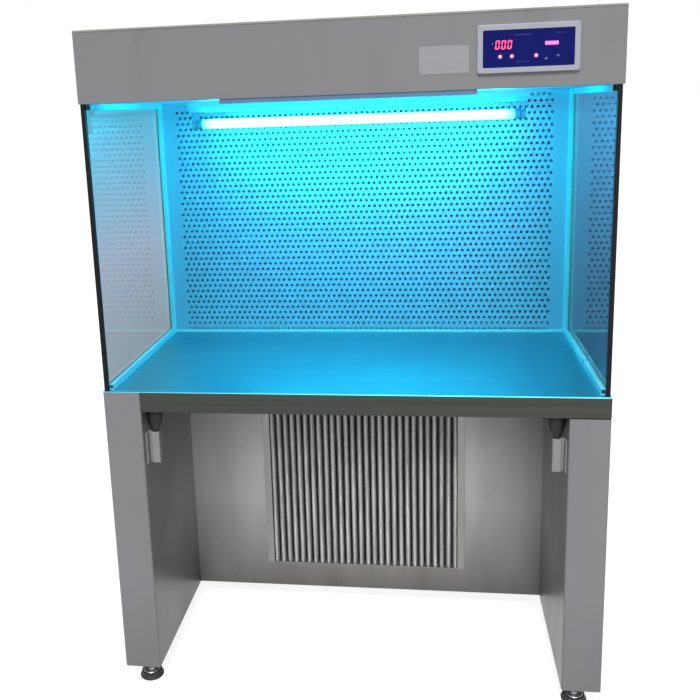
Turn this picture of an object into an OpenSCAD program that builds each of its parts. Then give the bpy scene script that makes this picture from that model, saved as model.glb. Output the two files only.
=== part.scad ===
// Horizontal laminar flow clean bench. Millimetres, +Z up, the open front faces -Y.
// The origin is on the floor, under the centre of the cabinet.

/* [Cabinet] */
// Width over the two side pillars
body_w = 1250; // [1100:10:1600]
// Height from the pillars' underside to the work surface
stand_h = 785; // [700:5:900]
// Height of the open working chamber
opening_h = 716; // [640:5:800]
// Height of the header above the chamber
header_h = 169; // [140:5:220]
// Depth of the working chamber, from its open front to the diffuser
chamber_d = 600; // [520:5:640]
// Free depth of the air plenum behind the main filter
plenum_d = 100; // [95:5:160]
// Thickness of the folded cabinet sheet
sheet_t = 1.5; // [1:0.1:2.5]
// Outside radius of the pillars' vertical bends
bend_r = 5; // [3:0.5:8]
// Depth of the folded edges of panels
fold_d = 20; // [14:1:24]
// Clearance around a part that is let into a panel
fit_gap = 0.3; // [0.2:0.05:0.5]

/* [Pillars and lower box] */
// Width of a side pillar, seen from the front
pillar_w = 97; // [80:1:130]
// Depth of the lower box, from the pre-filter's panel to the cabinet's rear
lower_box_d = 357; // [325:1:400]
// Overlap of the lower rear cover on each pillar
cover_lap = 30; // [24:1:40]
// Thickness of the pillar's bottom plate
base_plate_t = 4; // [3:0.5:6]

/* [Work surface] */
// Thickness of the stainless worktop sheet
worktop_t = 1.5; // [1:0.1:2.5]
// Height of the worktop's front apron
apron_h = 55; // [40:1:70]
// Depth of the apron's returned lower lip
apron_lip_d = 18; // [12:1:26]
// Running clearance around the apron where it crosses the right pillar
apron_gap = 1; // [0.5:0.1:2]

/* [Worktop supports] */
// Height of the support bracket's tube
bracket_h = 84; // [60:1:110]
// Width of the support bracket's square tube
bracket_w = 22; // [20:1:26]
// Thickness of the bracket's welded plate
bracket_t = 4; // [3:0.5:6]
// Width of the bracket's welded plate
bracket_plate_w = 44; // [36:1:60]
// Distance of the bracket's tube from the pillar
bracket_reach = 11; // [8:1:16]
// Distance of the bracket's axis behind the pillars' front faces
bracket_setback = 42; // [40:1:80]
// Radius of the rubber buffer's head
buffer_r = 21; // [16:0.5:21.5]
// Radius of the buffer's narrow end
buffer_tip_r = 9; // [7:0.5:12]
// Height of the buffer's tapered part
buffer_taper_h = 42; // [30:1:50]
// Height of the buffer's round head
buffer_head_h = 76; // [60:1:90]
// Radius of the buffer's stud
buffer_stud_r = 5; // [4:0.5:6]
// Length of the buffer's stud in the bracket
buffer_stud_l = 30; // [20:1:40]

/* [Levelling feet] */
// Height from the floor to the pillars' underside
foot_h = 45; // [42:1:60]
// Radius of the rubber pad
foot_r = 32; // [26:1:38]
// Height of the rubber pad
foot_pad_h = 18; // [14:1:20]
// Radius of the steel plate on the pad
foot_plate_r = 23; // [20:1:25]
// Thickness of the steel plate on the pad
foot_plate_t = 3; // [2:0.5:4]
// Radius of the threaded stud
stud_r = 6; // [5:0.5:8]
// Length of the stud inside the pillar
stud_inside = 40; // [30:1:70]
// Radial clearance of a shaft in its bore
shaft_gap = 0.05; // [0.03:0.01:0.08]
// Width across flats of the stud's lock nut
nut_af = 19; // [18:1:24]
// Height of the lock nut
nut_h = 8; // [6:0.5:9]
// Distance from the foot's axis to the pillar's inner side
foot_inset = 36; // [33:1:45]
// Distance from the foot's axis to the pillar's front or rear face
foot_setback = 33; // [30:1:70]

/* [Side glass] */
// Thickness of the tempered side glass
glass_t = 6; // [5:0.5:8]
// Distance of the glass channels from the cabinet's side
glass_inset = 5; // [3:0.5:10]
// Width of the glass channels
channel_w = 20; // [18:0.5:26]
// Height of the glass channels
channel_h = 15; // [12:0.5:20]
// Wall of the glass channels
channel_wall = 1.5; // [1:0.1:2]
// Floor of the glass channels
channel_floor = 3; // [2:0.5:4]
// Side clearance of the glass in its groove
glass_gap = 0.3; // [0.2:0.05:0.5]
// Depth of the black trim on the glass's front edge
trim_d = 12; // [10:0.5:16]
// Width of the black trim
trim_w = 10; // [9:0.5:12]
// Thickness of the trim in front of the glass
trim_base = 3; // [2:0.5:5]
// Distance of the trim behind the front plane
trim_setback = 2; // [0:0.5:6]

/* [Diffuser] */
// Spacing of the holes along a row
hole_pitch = 32.6; // [30:0.1:44]
// Spacing of the rows
hole_row_pitch = 34.6; // [32:0.1:44]
// Radius of a hole
hole_r = 5.5; // [4:0.5:7]
// Plain border beside the outermost holes
hole_border = 22; // [16:1:30]
// Plain border above and below the outermost holes
hole_border_z = 14; // [10:1:20]
// Width of the plain stile at each side of the diffuser
stile_w = 57; // [32:1:60]

/* [Main filter] */
// Depth of the filter's frame
filter_d = 69; // [60:1:90]
// Wall of the filter's frame
filter_wall = 15; // [10:1:20]
// Thickness of the gasket between filter and seat
gasket_t = 6; // [4:1:10]
// Gap between the filter's frame and the cabinet
filter_gap = 12; // [10:1:20]
// Spacing of the filter medium's pleats
fine_pleat_pitch = 16; // [12:1:24]
// Thickness of the filter medium, measured along the filter's depth
fine_media_t = 3.6; // [2.4:0.2:6]

/* [Pre-filter] */
// Width and height over the pre-filter's frame
prefilter_w = 606; // [450:1:610]
// Height of the pre-filter's lower edge above the pillars' underside
prefilter_z = 78; // [60:1:120]
// Width of the frame's visible side strips
prefilter_strip_w = 20; // [16:1:26]
// Thickness of the frame's upper and lower strips
prefilter_end_t = 2; // [1.5:0.5:4]
// Depth of the pre-filter
prefilter_d = 46; // [40:1:50]
// Number of pleats
pleat_count = 28; // [20:1:36]
// Thickness of the pleated mat, measured along the filter's depth
pleat_mat_t = 10; // [6:0.5:14]
// Thickness of the frame's sheet
prefilter_sheet = 1.2; // [1:0.1:2]

/* [Blower] */
// Radius of the blower wheel
wheel_r = 88; // [76:1:92]
// Width of the blower wheel
wheel_w = 140; // [100:1:180]
// Number of blades
blade_count = 32; // [24:1:40]
// Radial depth of the blades
blade_depth = 18; // [14:1:22]
// Thickness of a blade
blade_t = 2; // [1.5:0.25:3]
// Radius of the scroll where it starts
scroll_r0 = 97; // [95:1:104]
// Radius of the scroll where it meets the outlet
scroll_r1 = 150; // [140:1:154]
// Wall of the scroll housing
scroll_wall = 2; // [1.5:0.5:3]
// Gap between the wheel and the housing's sides
wheel_gap = 8; // [6:0.5:12]
// Depth of the blower's outlet
throat_d = 84; // [70:1:88]
// Gap between the scroll and the lower rear cover
scroll_rear_gap = 8; // [5:1:12]
// Height of the wheel's axis below the work surface
wheel_drop = 260; // [220:5:320]
// Rounding of the blower's inlet
inlet_mouth = 16; // [12:1:22]
// Radius of the motor's body
motor_r = 58; // [50:1:64]
// Length of the motor's body
motor_l = 120; // [90:1:160]
// Radius of the motor's shaft
shaft_r = 7; // [6:0.5:9]

/* [Lamp] */
// How far the lamp's channel runs past each holder
lamp_channel_end = 5; // [3:0.5:20]
// Width of the lamp's channel
lamp_channel_w = 52; // [44:1:64]
// Height of the lamp's channel
lamp_channel_h = 30; // [22:1:34]
// Distance of the tube behind the front plane
lamp_setback = 430; // [200:5:460]
// Length of the tube over its caps
tube_l = 895; // [880:1:895]
// Radius of the tube
tube_r = 13; // [12:0.5:14]
// Distance of the tube's axis below the ceiling
tube_drop = 63; // [54:1:70]
// Thickness of a lamp holder's head
holder_t = 12; // [11:0.5:15]
// Thickness of a lamp holder's stem
holder_stem_t = 7; // [5:0.5:9]
// Width of the front lamp shield
shield_w = 590; // [500:1:700]
// How far the lamp shield's centre lies right of the cabinet's centre
shield_x = 13.5; // [0:0.5:20]
// Height of the front lamp shield
shield_h = 11; // [10:1:24]

// Clearance between the tube's cap and its holder
holder_gap = 0.3; // [0.2:0.05:0.5]
// Length of the ballast
ballast_l = 190; // [150:5:240]
// Width of the ballast
ballast_w = 44; // [36:1:52]
// Height of the ballast
ballast_h = 30; // [24:1:36]
// Distance of the ballast's left end from the cabinet's centre
ballast_x = 180; // [100:5:240]

/* [Controls] */
// Width of the control bezel
bezel_w = 220; // [180:1:260]
// Height of the control bezel
bezel_h = 104; // [90:1:120]
// Width of the bezel's rim
bezel_rim = 12; // [8:0.5:16]
// How far the bezel stands off the header
bezel_t = 6; // [4:0.5:8]
// Distance of the bezel's centre from the cabinet's right side
bezel_inset = 208; // [150:1:290]
// Thickness of the keypad overlay
overlay_t = 1; // [0.6:0.1:1.5]

/* [Hidden] */
$fn = 48;

// Colours
paint_c = [0.74, 0.74, 0.75];
white_c = [0.90, 0.92, 0.93];
steel_c = [0.70, 0.71, 0.71];
alu_c = [0.78, 0.79, 0.80];
dark_c = [0.06, 0.06, 0.07];

// Depths along Y, in the order in which the air filter stack is built up
filter_stack_d = sheet_t + fold_d + sheet_t + gasket_t + filter_d;
body_d = chamber_d + filter_stack_d + plenum_d + sheet_t;
// The bezel stands out in front and the mains inlet's flange at the rear
inlet_t = 4;
y_front = -(body_d + inlet_t - bezel_t) / 2;
y_back = y_front + body_d;
y_diffuser = y_front + chamber_d;
y_seat = y_diffuser + sheet_t + fold_d;
y_gasket = y_seat + sheet_t;
y_filter = y_gasket + gasket_t;
y_panel = y_back - lower_box_d;

// Heights along Z
z_pillar = foot_h;
z_work = foot_h + stand_h;
z_deck = z_work - worktop_t;
z_ceiling = z_work + opening_h;
z_top = z_ceiling + header_h;

// Widths along X
x_side = body_w / 2;
x_inner = x_side - pillar_w;
x_cover = x_inner + cover_lap;

// ---------- helpers ----------

// A block given by its two corners
module slab(a, b) {
    translate(a)
        cube(b - a);
}

// A flat outline with rounded corners
module round_rect(w, h, r) {
    square([w - 2 * r, h], center = true);
    square([w, h - 2 * r], center = true);
    for (sx = [-1, 1], sy = [-1, 1])
        translate([sx * (w / 2 - r), sy * (h / 2 - r)])
            circle(r);
}

// An outline in Y and Z, extruded along X from x0 over a length l
module along_x(x0, l) {
    translate([x0, 0, 0])
        rotate([90, 0, 90])
            linear_extrude(height = l)
                children();
}

// An outline in X and Z, extruded along Y from y0 over a length l
module along_y(y0, l) {
    translate([0, y0 + l, 0])
        rotate([90, 0, 0])
            linear_extrude(height = l)
                children();
}

// A band of sheet folded into a zigzag: count pleats over a width w and a depth d, in X and Y
module zigzag(w, d, t, count) {
    step = w / (2 * count);
    front = [for (i = [0 : 2 * count]) [-w / 2 + i * step, i % 2 == 0 ? 0 : d - t]];
    rear = [for (i = [2 * count : -1 : 0]) [-w / 2 + i * step, i % 2 == 0 ? t : d]];
    polygon(concat(front, rear));
}

// One screw with a low round head, its head on the plane y = 0 facing +Y
module cover_screw(shank) {
    rotate([-90, 0, 0]) {
        cylinder(r = 4.2, h = 1.6);
        translate([0, 0, 1.6])
            cylinder(r1 = 4.2, r2 = 2.8, h = 1);
        translate([0, 0, -shank])
            cylinder(r = 2, h = shank);
    }
}

// ---------- pillars and lower box ----------

// The foot's place in the plan, for each side (-1 or 1) and end (-1 front, 1 rear)
function foot_at(side, end) =
    [side * (x_inner + foot_inset),
     end < 0 ? y_front + foot_setback : y_back - foot_setback];

// A closed sheet pillar, with a thick plate at its foot for the two studs
module pillar(side) {
    pillar_h = z_deck - z_pillar;
    pillar_d = body_d - sheet_t;
    difference() {
        translate([side * (x_side - pillar_w / 2), y_front + pillar_d / 2, z_pillar])
            difference() {
                linear_extrude(height = pillar_h)
                    round_rect(pillar_w, pillar_d, bend_r);
                translate([0, 0, base_plate_t])
                    linear_extrude(height = pillar_h)
                        round_rect(pillar_w - 2 * sheet_t, pillar_d - 2 * sheet_t, bend_r - sheet_t);
            }
        for (end = [-1, 1])
            translate(concat(foot_at(side, end), z_pillar - 1))
                cylinder(r = stud_r + shaft_gap, h = base_plate_t + 2);
        if (side > 0)
            slab([x_inner - 1, y_front - 1, z_work - apron_h - apron_gap],
                 [x_side + 1, y_front + apron_lip_d + worktop_t + apron_gap, z_work]);
    }
}

// The panel that holds the pre-filter, with its edges folded to the rear
module lower_front_panel() {
    panel_h = z_deck - sheet_t - z_pillar;
    z_mid = z_pillar + prefilter_z + prefilter_w / 2;
    hole_w = prefilter_w + 2 * fit_gap;
    color(paint_c)
        difference() {
            slab([-x_inner, y_panel, z_pillar], [x_inner, y_panel + fold_d, z_pillar + panel_h]);
            difference() {
                slab([-x_inner + sheet_t, y_panel + sheet_t, z_pillar + sheet_t],
                     [x_inner - sheet_t, y_panel + fold_d + 1, z_pillar + panel_h - sheet_t]);
                along_y(y_panel, fold_d)
                    translate([0, z_mid])
                        square(hole_w + 2 * sheet_t, center = true);
            }
            along_y(y_panel - 1, fold_d + 2)
                translate([0, z_mid])
                    square(hole_w, center = true);
        }
}

// The pan that closes the lower box from below
module lower_floor_panel() {
    y0 = y_panel + fold_d;
    y1 = y_back - sheet_t;
    color(paint_c)
        difference() {
            slab([-x_inner, y0, z_pillar], [x_inner, y1, z_pillar + fold_d]);
            slab([-x_inner + sheet_t, y0 + sheet_t, z_pillar + sheet_t],
                 [x_inner - sheet_t, y1 - sheet_t, z_pillar + fold_d + 1]);
        }
}

// Heights of a column of evenly spaced screws
function screw_rows(z0, z1, rows) = [for (i = [0 : rows - 1]) z0 + (z1 - z0) * (i + 0.5) / rows];

inlet_inset = 90;
inlet_rise = 110;
screws_per_side = 4;
screw_hole_r = 2.2;
lower_screws = [for (sx = [-1, 1], z = screw_rows(z_pillar, z_deck, screws_per_side))
                [sx * (x_inner + cover_lap / 2), z]];
upper_screws = [for (sx = [-1, 1], z = screw_rows(z_deck, z_top, screws_per_side))
                [sx * (x_side - fold_d / 2), z]];
inlet_x = x_inner - inlet_inset;
inlet_z = z_pillar + inlet_rise;
inlet_w = 27;
inlet_h = 20;

// A rear cover of sheet with its screw holes
module rear_cover(x1, z0, z1, screws) {
    along_y(y_back - sheet_t, sheet_t)
        difference() {
            translate([0, (z0 + z1) / 2])
                square([2 * x1, z1 - z0], center = true);
            for (p = screws)
                translate(p)
                    circle(screw_hole_r);
        }
}

// The removable cover behind the blower, with the mains inlet's cut-out
module lower_rear_cover() {
    color(paint_c)
        difference() {
            rear_cover(x_cover, z_pillar, z_deck, lower_screws);
            along_y(y_back - sheet_t - 1, sheet_t + 2)
                translate([inlet_x, inlet_z])
                    square([inlet_w + 2 * fit_gap, inlet_h + 2 * fit_gap], center = true);
        }
}

// The removable cover behind the main filter
module upper_rear_cover() {
    color(paint_c)
        rear_cover(x_side, z_deck, z_top, upper_screws);
}

// Round-headed screws through both rear covers
module rear_cover_screws() {
    color(steel_c)
        for (p = concat(lower_screws, upper_screws))
            translate([p[0], y_back, p[1]])
                cover_screw(sheet_t);
}

// The deck over the lower box: the worktop's rear rests on it, and the blower's outlet passes it
module blower_deck() {
    color(paint_c)
        difference() {
            slab([-x_inner, y_panel, z_deck - sheet_t], [x_inner, y_back - sheet_t, z_deck]);
            slab([-blower_w / 2 + scroll_wall, throat_y0 + scroll_wall, z_deck - sheet_t - 1],
                 [blower_w / 2 - scroll_wall, throat_y1 - scroll_wall, z_deck + 1]);
        }
}

// ---------- work surface ----------

// A folded stainless sheet: its apron starts beside the left pillar and crosses the right one
module worktop() {
    lip = [[0, 0], [apron_lip_d, 0], [apron_lip_d, worktop_t], [worktop_t, worktop_t],
           [worktop_t, apron_h - worktop_t], [chamber_d, apron_h - worktop_t], [chamber_d, apron_h], [0, apron_h]];
    color(steel_c) {
        translate([0, y_front, z_work - apron_h])
            along_x(-x_inner, x_inner + x_side)
                polygon(lip);
        slab([-x_side, y_front, z_deck], [-x_inner, y_diffuser, z_work]);
        slab([x_side - worktop_t, y_front, z_work - apron_h], [x_side, y_front + apron_lip_d, z_deck]);
    }
}

bracket_z1 = z_deck - buffer_head_h - buffer_taper_h;
bracket_axis_x = x_inner - bracket_reach - bracket_w / 2;

// A square tube welded to a plate on the pillar's inner side, bored for the buffer's stud
module support_bracket(side) {
    color(white_c)
        mirror([side < 0 ? 1 : 0, 0, 0])
            translate([bracket_axis_x, y_front + bracket_setback, bracket_z1 - bracket_h])
                difference() {
                    linear_extrude(height = bracket_h) {
                        round_rect(bracket_w, bracket_w, 3);
                        translate([bracket_w / 2 - 1, -bracket_t / 2])
                            square([bracket_reach - bracket_t + 2, bracket_t]);
                        translate([bracket_w / 2 + bracket_reach - bracket_t, -bracket_plate_w / 2])
                            square([bracket_t, bracket_plate_w]);
                    }
                    translate([0, 0, bracket_h - buffer_stud_l - 2])
                        cylinder(r = buffer_stud_r, h = buffer_stud_l + 3);
                }
}

// A tapered rubber buffer whose stud stands in the bracket and whose head carries the worktop
module worktop_buffer(side) {
    head_z = buffer_taper_h + buffer_head_h;
    edge = 3;
    color(dark_c)
        translate([side * bracket_axis_x, y_front + bracket_setback, bracket_z1])
            rotate_extrude()
                polygon([[0, -buffer_stud_l], [buffer_stud_r, -buffer_stud_l], [buffer_stud_r, 0],
                         [buffer_tip_r, 0], [buffer_r, buffer_taper_h], [buffer_r, head_z - edge],
                         [buffer_r - edge, head_z], [0, head_z]]);
}

// ---------- levelling feet ----------

foot_spigot_r = stud_r + 2;
foot_spigot_h = 4;
foot_recess = 1.5;

// The rubber pad: flared, rounded at its upper edge, with a seat for the steel plate
module foot_pad(side, end) {
    color(dark_c)
        translate(foot_at(side, end))
            rotate_extrude()
                polygon([[0, 0], [foot_r - 1, 0], [foot_r, 1], [foot_r, foot_pad_h * 0.3],
                         [foot_plate_r + 4, foot_pad_h - 1], [foot_plate_r + 3, foot_pad_h],
                         [foot_plate_r, foot_pad_h], [foot_plate_r, foot_pad_h - foot_recess],
                         [0, foot_pad_h - foot_recess]]);
}

// The steel plate and its stud, which screws into the pillar's bottom plate
module foot_stud(side, end) {
    z0 = foot_pad_h - foot_recess;
    stud_l = foot_h + stud_inside - z0;
    color(steel_c)
        translate(concat(foot_at(side, end), z0))
            rotate_extrude()
                polygon([[0, 0], [foot_plate_r, 0], [foot_plate_r, foot_plate_t],
                         [foot_spigot_r, foot_plate_t + foot_spigot_h - 1], [stud_r, foot_plate_t + foot_spigot_h],
                         [stud_r, stud_l - 1], [stud_r - 1, stud_l], [0, stud_l]]);
}

// A lock nut under each pillar's bottom plate
module foot_lock_nuts() {
    color(steel_c)
        for (side = [-1, 1], end = [-1, 1])
            translate(concat(foot_at(side, end), z_pillar - nut_h))
                difference() {
                    cylinder(r = nut_af / sqrt(3), h = nut_h, $fn = 6);
                    translate([0, 0, -1])
                        cylinder(r = stud_r + shaft_gap, h = nut_h + 2, $fn = 48);
                }
}

// ---------- upper cabinet ----------

// One L-shaped side sheet: the end of the header and the side of the filter housing
module upper_side(side) {
    y1 = y_back - sheet_t;
    outline = [[y_front + fold_d, z_ceiling], [y_diffuser, z_ceiling], [y_diffuser, z_deck],
               [y1, z_deck], [y1, z_top], [y_front + fold_d, z_top]];
    inner = [[y_front + fold_d - 1, z_ceiling + sheet_t], [y_diffuser + sheet_t, z_ceiling + sheet_t],
             [y_diffuser + sheet_t, z_deck + sheet_t], [y1 - sheet_t, z_deck + sheet_t],
             [y1 - sheet_t, z_top - sheet_t], [y_front + fold_d - 1, z_top - sheet_t]];
    color(paint_c)
        mirror([side < 0 ? 1 : 0, 0, 0])
            difference() {
                along_x(x_side - fold_d, fold_d)
                    polygon(outline);
                along_x(x_side - fold_d - 1, fold_d + 1 - sheet_t)
                    polygon(inner);
            }
}

// The header's fascia, a channel closed at both ends, with the control cut-out
module header_front() {
    color(paint_c)
        difference() {
            slab([-x_side, y_front, z_ceiling], [x_side, y_front + fold_d, z_top]);
            slab([-x_side + sheet_t, y_front + sheet_t, z_ceiling + sheet_t],
                 [x_side - sheet_t, y_front + fold_d + 1, z_top - sheet_t]);
            along_y(y_front - 1, sheet_t + 2)
                translate([bezel_x, bezel_z])
                    round_rect(bezel_w - 2 * bezel_rim - 8, bezel_h - 2 * bezel_rim - 8, 3);
        }
}

// The ceiling of the chamber and of the filter housing, wider behind the diffuser to close the plenum
module ceiling_panel() {
    x1 = x_side - fold_d;
    x2 = x_side - sheet_t;
    y0 = y_front + fold_d;
    y1 = y_back - sheet_t;
    color(white_c)
        difference() {
            union() {
                slab([-x1, y0, z_ceiling], [x1, y1, z_ceiling + fold_d]);
                slab([-x2, y_seat, z_ceiling], [x2, y1 - sheet_t, z_ceiling + sheet_t]);
            }
            slab([-x1 + sheet_t, y0 + sheet_t, z_ceiling + sheet_t],
                 [x1 - sheet_t, y1 - sheet_t, z_ceiling + fold_d + 1]);
        }
}

// The top cover, a shallow tray between the folds of the two side sheets
module top_cover() {
    x1 = x_side - fold_d;
    y0 = y_front + fold_d;
    y1 = y_back - sheet_t;
    color(paint_c)
        difference() {
            slab([-x1, y0, z_top - fold_d], [x1, y1, z_top]);
            slab([-x1 + sheet_t, y0 + sheet_t, z_top - fold_d - 1],
                 [x1 - sheet_t, y1 - sheet_t, z_top - sheet_t]);
        }
}

// ---------- side glass ----------

groove_x0 = glass_inset + channel_wall;
groove_w = glass_t + 2 * glass_gap;

// The section of a glass channel, measured from the cabinet's side towards the chamber
module channel_section() {
    difference() {
        translate([glass_inset, 0])
            square([channel_w, channel_h]);
        translate([groove_x0, channel_floor])
            square([groove_w, channel_h]);
        translate([groove_x0 + groove_w + channel_wall, channel_wall])
            square([channel_w - channel_wall * 3 - groove_w, channel_h - 2 * channel_wall]);
    }
}

// The three channels that hold one side glass: along the worktop, up the diffuser and under the ceiling
module glass_channels(side) {
    y0 = y_front + trim_setback + trim_d;
    l = y_diffuser - y0;
    color(white_c)
        mirror([side > 0 ? 1 : 0, 0, 0])
            translate([-x_side, 0, 0]) {
                translate([0, y_diffuser, z_work])
                    rotate([90, 0, 0])
                        linear_extrude(height = l)
                            channel_section();
                translate([0, y_diffuser, z_ceiling])
                    rotate([90, 0, 0])
                        linear_extrude(height = l)
                            mirror([0, 1])
                                channel_section();
                translate([0, y_diffuser, z_work + channel_h])
                    linear_extrude(height = opening_h - 2 * channel_h)
                        mirror([0, 1])
                            channel_section();
            }
}

// The pane stands on the lower channel's floor
module side_glass(side) {
    color([0.75, 0.88, 0.90, 0.35])
        mirror([side > 0 ? 1 : 0, 0, 0])
            slab([-x_side + groove_x0 + glass_gap, y_front + trim_setback + trim_base, z_work + channel_floor],
                 [-x_side + groove_x0 + glass_gap + glass_t, y_diffuser - channel_floor - glass_gap,
                  z_ceiling - channel_floor - glass_gap]);
}

// A black U-shaped trim over the glass's front edge
module glass_trim(side) {
    x_mid = -x_side + groove_x0 + glass_gap + glass_t / 2;
    color(dark_c)
        mirror([side > 0 ? 1 : 0, 0, 0])
            translate([x_mid, y_front + trim_setback, z_work])
                linear_extrude(height = opening_h)
                    difference() {
                        translate([-trim_w / 2, 0])
                            square([trim_w, trim_d]);
                        translate([-glass_t / 2, trim_base])
                            square([glass_t, trim_d]);
                    }
}

// ---------- diffuser and main filter ----------

plate_w = body_w - 2 * sheet_t - 2 * stile_w;
stack_h = z_ceiling - z_deck;
stack_z = (z_ceiling + z_deck) / 2;
hole_cols = floor((plate_w - 2 * hole_border - hole_pitch / 2) / hole_pitch) + 1;
hole_rows = floor((opening_h - 2 * hole_border_z) / hole_row_pitch) + 1;

// The staggered holes of the diffuser, centred on the plate
module diffuser_holes() {
    w = (hole_cols - 0.5) * hole_pitch;
    h = (hole_rows - 1) * hole_row_pitch;
    for (row = [0 : hole_rows - 1], col = [0 : hole_cols - 1])
        translate([-w / 2 + (col + (row % 2) / 2) * hole_pitch, row * hole_row_pitch - h / 2])
            circle(hole_r, $fn = 16);
}

// The perforated diffuser: a plate with four edges folded to the rear
module diffuser_plate() {
    color(white_c) {
        along_y(y_diffuser, sheet_t)
            difference() {
                translate([0, stack_z])
                    square([plate_w, stack_h], center = true);
                translate([0, z_work + opening_h / 2])
                    diffuser_holes();
            }
        along_y(y_diffuser + sheet_t, fold_d)
            translate([0, stack_z])
                difference() {
                    square([plate_w, stack_h], center = true);
                    square([plate_w - 2 * sheet_t, stack_h - 2 * sheet_t], center = true);
                }
    }
}

// The plain strip between the diffuser and the side of the cabinet
module diffuser_stile(side) {
    w = x_side - fold_d - plate_w / 2;
    color(white_c)
        mirror([side < 0 ? 1 : 0, 0, 0])
            translate([plate_w / 2, y_diffuser, z_deck])
                linear_extrude(height = stack_h)
                    polygon([[0, 0], [w, 0], [w, fold_d + sheet_t], [w - sheet_t, fold_d + sheet_t],
                             [w - sheet_t, sheet_t], [0, sheet_t]]);
}

filter_w = body_w - 2 * fold_d - 2 * filter_gap;
filter_h = stack_h - 2 * filter_gap;

// The sheet ring that the filter is pressed against, notched over the side sheets' lower folds
module filter_seat() {
    ring_w = body_w - 2 * sheet_t;
    color(paint_c)
        along_y(y_seat, sheet_t)
            translate([0, stack_z])
                difference() {
                    square([ring_w, stack_h], center = true);
                    square([filter_w - 2 * filter_wall, filter_h - 2 * filter_wall], center = true);
                    for (side = [-1, 1])
                        translate([side * ring_w / 2, -stack_h / 2])
                            square([2 * (fold_d - sheet_t), 2 * sheet_t], center = true);
                }
}

// The soft gasket on the filter's front
module filter_gasket() {
    color(dark_c)
        along_y(y_gasket, gasket_t)
            translate([0, stack_z])
                difference() {
                    square([filter_w, filter_h], center = true);
                    square([filter_w - 2 * filter_wall, filter_h - 2 * filter_wall], center = true);
                }
}

// The filter's extruded frame
module filter_frame() {
    color(alu_c)
        along_y(y_filter, filter_d)
            translate([0, stack_z])
                difference() {
                    square([filter_w, filter_h], center = true);
                    square([filter_w - 2 * filter_wall, filter_h - 2 * filter_wall], center = true);
                }
}

// The pleated pack of the fine filter
module filter_media() {
    w = filter_w - 2 * filter_wall;
    h = filter_h - 2 * filter_wall;
    color([0.95, 0.95, 0.93])
        translate([0, y_filter + 4, stack_z - h / 2])
            linear_extrude(height = h)
                zigzag(w, filter_d - 8, fine_media_t, floor(w / fine_pleat_pitch));
}

clamp_bolt_r = 4;
clamp_w = 40;
clamp_t = 4;

// Four clamps on studs from the filter seat, which press the frame on its gasket
module filter_clamps() {
    reach = filter_gap + 14;
    color(steel_c)
        for (sx = [-1, 1], sz = [-1, 1])
            translate([sx * (filter_w / 2 + filter_gap / 2), y_gasket, stack_z + sz * filter_h / 4]) {
                rotate([-90, 0, 0])
                    cylinder(r = clamp_bolt_r, h = gasket_t + filter_d + 22, $fn = 24);
                translate([sx > 0 ? -reach : 0 - filter_gap / 4, gasket_t + filter_d, -clamp_w / 2])
                    cube([reach + filter_gap / 4, clamp_t, clamp_w]);
                translate([0, gasket_t + filter_d + clamp_t, 0])
                    rotate([-90, 0, 0])
                        cylinder(r = 7.5, h = 6.5, $fn = 6);
            }
}

// ---------- pre-filter ----------

prefilter_y = y_panel - 2;
prefilter_z0 = z_pillar + prefilter_z;

// The pre-filter's frame: two aluminium channels joined by thin strips above and below
module prefilter_frame() {
    half = prefilter_w / 2;
    t = prefilter_sheet;
    section = [[0, 0], [prefilter_strip_w, 0], [prefilter_strip_w, t], [t, t],
               [t, prefilter_d - t], [prefilter_strip_w, prefilter_d - t], [prefilter_strip_w, prefilter_d],
               [0, prefilter_d]];
    color(alu_c) {
        for (side = [-1, 1])
            mirror([side > 0 ? 1 : 0, 0, 0])
                translate([-half, prefilter_y, prefilter_z0])
                    linear_extrude(height = prefilter_w)
                        polygon(section);
        for (z = [prefilter_z0, prefilter_z0 + prefilter_w - prefilter_end_t])
            slab([-half + t, prefilter_y + t, z], [half - t, prefilter_y + prefilter_d - t, z + prefilter_end_t]);
    }
}

// The pleated mat between the frame's channels
module prefilter_media() {
    w = prefilter_w - 2 * prefilter_strip_w + 8;
    d = prefilter_d - 2 * prefilter_sheet;
    color([0.45, 0.46, 0.47])
        translate([0, prefilter_y + prefilter_sheet, prefilter_z0 + prefilter_end_t])
            linear_extrude(height = prefilter_w - 2 * prefilter_end_t)
                zigzag(w, d, pleat_mat_t, pleat_count);
}

// ---------- blower ----------

blower_w = wheel_w + 2 * wheel_gap + 2 * scroll_wall;
wheel_y = y_back - sheet_t - scroll_rear_gap - scroll_r1;
wheel_z = z_work - wheel_drop;
throat_y1 = wheel_y + scroll_r1;
throat_y0 = throat_y1 - throat_d;
tongue_angle = 68;
inlet_r = wheel_r - blade_depth;
duct_h = z_deck - sheet_t - wheel_z;

function scroll_r(a) = scroll_r0 + (scroll_r1 - scroll_r0) * (a - tongue_angle) / (360 - tongue_angle);
function scroll_curve(inset) =
    [for (a = [tongue_angle : 12 : 359]) (scroll_r(a) - inset) * [cos(a), sin(a)]];

// The scroll's outline in Y and Z about the wheel's axis, moved in by a wall and open at the top
module scroll_outline(inset) {
    duct_top = duct_h + (inset > 0 ? 1 : 0);
    polygon(concat([[scroll_r1 - inset, 0], [scroll_r1 - inset, duct_top],
                    [scroll_r1 - throat_d + inset, duct_top],
                    [scroll_r1 - throat_d + inset, (scroll_r0 - inset) * sin(tongue_angle) + 8]],
                   scroll_curve(inset)));
}

// The sheet scroll: two sides and a wrap, open at its outlet and at the wheel's eye
module blower_housing() {
    color(steel_c)
        translate([0, wheel_y, wheel_z])
            difference() {
                along_x(-blower_w / 2, blower_w)
                    scroll_outline(0);
                along_x(-blower_w / 2 + scroll_wall, blower_w - 2 * scroll_wall)
                    scroll_outline(scroll_wall);
                along_x(-blower_w / 2 - 1, scroll_wall + 2)
                    circle(inlet_r);
                along_x(blower_w / 2 - scroll_wall - 1, scroll_wall + 2)
                    circle(shaft_r + 4);
            }
}

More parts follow.
